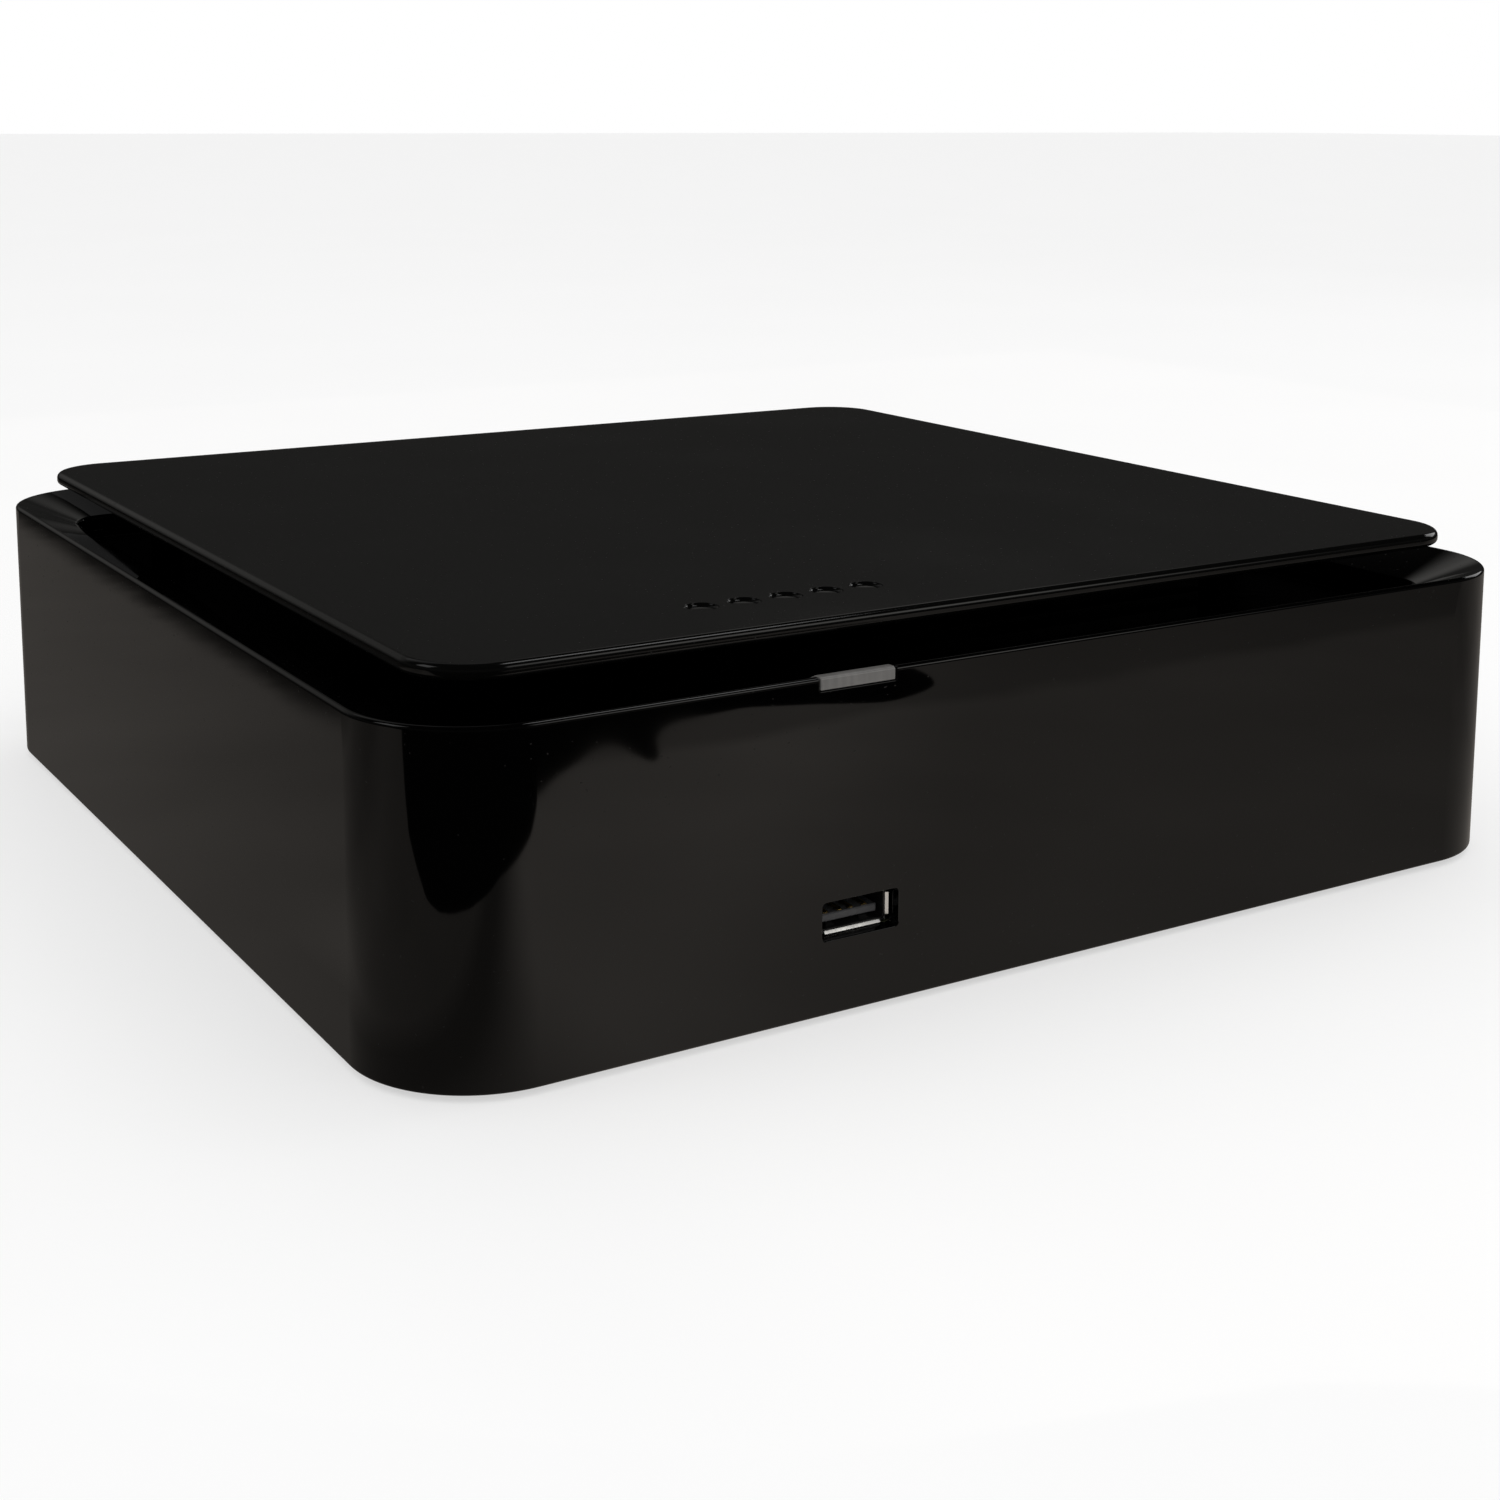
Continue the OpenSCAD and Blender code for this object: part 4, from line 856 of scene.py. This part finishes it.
def stage_sheet(name, outline, z, material, **seen):
    """A flat sheet of the stage, with the kinds of ray that don't see it."""
    points = [Vector((x, y, z)) for x, y in outline]
    mesh = bpy.data.meshes.new(name)
    mesh.from_pydata(points, [], tessellate_polygon([points]))
    mesh.materials.append(material)
    made = bpy.data.objects.new(name, mesh)
    COLLECTION.objects.link(made)
    for flag, value in seen.items():
        setattr(made, "visible_" + flag, value)


def floor():
    """The pale floor, lit partly from within. The gloss doesn't mirror it, but table_glow."""
    f = Finish("floor", (0.4, 0.4, 0.4), 0.7, Emission_Strength=0.55)
    f.put("Emission Color", (1, 1, 1, 1))
    f.colour(f.blend(f.span(f.noise(0.15, 2), 0.3, 0.7), (0.4, 0.4, 0.4), (0.41, 0.41, 0.41)))
    f.bump(f.noise(0.002, 2), 2e-5)
    stage_sheet("floor", square_path(12.0, 1.0, 6), 0.0, f.material, glossy=False)


TABLE_GAIN = 0.97
TABLE_Z = 0.4 * MM

# Edge of the table that the walls mirror, in metres from the casing's middle.
TABLE_EDGE = ((-0.7, 0.62), (-0.7, -0.06), (-0.29, -0.12), (-0.225, -0.121), (-0.172, -0.138),
              (-0.14, -0.17), (-0.105, -0.2), (-0.045, -0.218), (-0.02, -0.242), (0.0, -0.26),
              (-0.002, -0.241), (0.001, -0.239), (0.012, -0.264), (0.045, -0.266),
              (0.066, -0.252), (0.09, -0.258), (0.095, -0.3), (-0.02, -0.34), (-0.03, -0.5),
              (0.6, -0.5), (0.6, 0.62))


def smooth_loop(points, cut=7 * MM, rounds=3, ripple=1 * MM):
    """A closed outline with its corners cut again and again, and a small ripple."""
    loop = [Vector(p) for p in points]
    for _ in range(rounds):
        cut_loop = []
        for i, here in enumerate(loop):
            for other in (loop[i - 1], loop[(i + 1) % len(loop)]):
                way = other - here
                cut_loop.append(here + way.normalized() * min(0.28 * way.length, cut))
        loop, cut = cut_loop, cut / 2
    return [(p.x, p.y + ripple * math.sin(210 * p.x) * math.sin(97 * p.x + 1)) for p in loop]


def table_glow():
    """What the gloss walls mirror, and nothing else sees: a warm grey table, brightest before
    the front's left half. It darkens to the right and away from the front, is dim beside the
    left wall, and is darkest in a ragged strip far along that wall."""
    f = Finish("table_glow", (0, 0, 0), 1.0, Specular_IOR_Level=0.0)
    parts = f.node("ShaderNodeSeparateXYZ")
    f.join(f.place, parts.inputs[0])
    x, y = parts.outputs["X"], parts.outputs["Y"]
    slant = f.add(x, f.add(f.add(y, 0.2), 0.9, "MULTIPLY"))
    front = f.span(x, -0.112, -0.068, 0, 1, "SMOOTHSTEP")
    fall = f.span(slant, -0.01, 0.06, 0.5, 0.28, "SMOOTHSTEP")
    far = f.span(slant, 0.06, 0.26, 0, -0.24)
    beyond = f.span(f.add(y, f.span(f.noise(0.05, 2), 0, 1, -0.008, 0.008)), -0.25, -0.243,
                    0.72, 1)
    outer = f.add(f.span(y, -0.31, -0.3), f.span(x, -0.02, 0.12, 0.15, 0.9), "MAXIMUM")
    ragged = f.add(x, f.span(f.noise(0.01, 2), 0, 1, -0.002, 0.002))
    shade = f.add(f.span(ragged, -0.168, -0.178, 0, 1, "SMOOTHSTEP"), f.span(y, 0.05, 0.1),
                  "MULTIPLY")
    near_left = f.add(f.span(y, -0.01, -0.07, 0, 0.09, "SMOOTHSTEP"), f.span(x, -0.12, -0.132),
                      "MULTIPLY")
    lit = f.add(f.add(f.add(fall, far), front, "MULTIPLY"), near_left)
    cloud = f.span(f.noise(0.06, 2), 0.3, 0.7, 0.92, 1.06)
    total = f.add(f.add(lit, 0.145), beyond, "MULTIPLY")
    for factor in (outer, f.span(shade, 0, 1, 1, 0.15), cloud):
        total = f.add(total, factor, "MULTIPLY")
    f.join(f.add(total, TABLE_GAIN, "MULTIPLY"), f.shader.inputs["Emission Strength"])
    f.put("Emission Color", (1.0, 0.92, 0.84, 1))
    stage_sheet("table_glow", smooth_loop(TABLE_EDGE), TABLE_Z, f.material,
                camera=False, diffuse=False, shadow=False, transmission=False)


def area(name, place, size, power, aim=(0, 0, 0.03)):
    """A rectangular lamp that the camera doesn't see, aimed at the casing."""
    data = bpy.data.lights.new(name, "AREA")
    data.shape, data.size, data.size_y = "RECTANGLE", size[0], size[1]
    data.energy = power
    lamp = bpy.data.objects.new(name, data)
    COLLECTION.objects.link(lamp)
    lamp.location = place
    lamp.rotation_mode = "QUATERNION"
    lamp.rotation_quaternion = (Vector(aim) - Vector(place)).to_track_quat("-Z", "Y")
    lamp.visible_camera = False


# What the gloss mirrors of the world: the grey band's level low down and higher up, and the
# soft patches, as the way to each, the distances where it starts and ends fading, and its level.
BAND = (0.026, 0.04)
PATCHES = (((-0.2, 0.86, 0.42), 0.15, 0.5, 0.13), ((0.53, 0.7, 0.45), 0.05, 0.26, 0.25),
           ((0.53, -0.69, 0.5), 0.07, 0.27, 1.5))


def world():
    """Pale behind the object and for the soft light. What the gloss mirrors is dark, with a
    faint grey band low down, which the plate's upper face reflects, two soft patches behind,
    for the left edges and the right corner, and one in front, for the receptacle's lips."""
    sky = bpy.data.worlds.new("studio")
    SCENE.world = sky
    sky.use_nodes = True
    tree = sky.node_tree
    tree.nodes.clear()

    def made(kind, **values):
        node = tree.nodes.new(kind)
        for key, value in values.items():
            setattr(node, key, value)
        return node

    def ramp(value, low, high, to_low, to_high):
        node = made("ShaderNodeMapRange", interpolation_type="SMOOTHSTEP")
        for socket, number in zip(("From Min", "From Max", "To Min", "To Max"),
                                  (low, high, to_low, to_high)):
            node.inputs[socket].default_value = number
        tree.links.new(value, node.inputs["Value"])
        return node.outputs["Result"]

    def both(a, b, how="MULTIPLY"):
        node = made("ShaderNodeMath", operation=how)
        tree.links.new(a, node.inputs[0])
        tree.links.new(b, node.inputs[1])
        return node.outputs[0]

    def patch(way, near, far, level):
        node = made("ShaderNodeVectorMath", operation="DISTANCE")
        tree.links.new(facing, node.inputs[0])
        node.inputs[1].default_value = way
        return ramp(node.outputs["Value"], near, far, level, 0)

    facing = made("ShaderNodeTexCoord").outputs["Generated"]
    parts = made("ShaderNodeSeparateXYZ")
    tree.links.new(facing, parts.inputs[0])
    height = parts.outputs["Z"]
    band = both(ramp(height, -0.06, 0.06, 0, 1), ramp(height, 0.3, 0.5, 1, 0.12))
    grey = both(band, ramp(height, 0.12, 0.26, *BAND))
    for spot in PATCHES:
        grey = both(grey, patch(*spot), "ADD")
    pale, dark = made("ShaderNodeBackground"), made("ShaderNodeBackground")
    pale.inputs["Color"].default_value = (1, 1, 1, 1)
    pale.inputs["Strength"].default_value = 1.0
    dark.inputs["Color"].default_value = (1.0, 0.98, 0.94, 1)
    tree.links.new(grey, dark.inputs["Strength"])
    mix, path, out = (made("ShaderNode" + kind) for kind in
                      ("MixShader", "LightPath", "OutputWorld"))
    tree.links.new(path.outputs["Is Glossy Ray"], mix.inputs[0])
    tree.links.new(pale.outputs[0], mix.inputs[1])
    tree.links.new(dark.outputs[0], mix.inputs[2])
    tree.links.new(mix.outputs[0], out.inputs["Surface"])


def lights():
    """A lamp overhead draws the front edges; the soft boxes stand where the walls and the
    plate don't mirror them and light the metal and the matt parts."""
    area("overhead", (0.28, -0.12, 0.75), (0.16, 0.22), 0.3)
    area("box_left", (-1.1, 0.25, 0.95), (0.5, 0.5), 0.9)
    area("box_back", (0.0, 1.0, 1.15), (1.0, 0.6), 0.25)
    area("box_right", (1.3, 0.1, 0.55), (0.6, 0.5), 1.4)


floor()
table_glow()
lights()
world()
SCENE.view_settings.view_transform = "Standard"
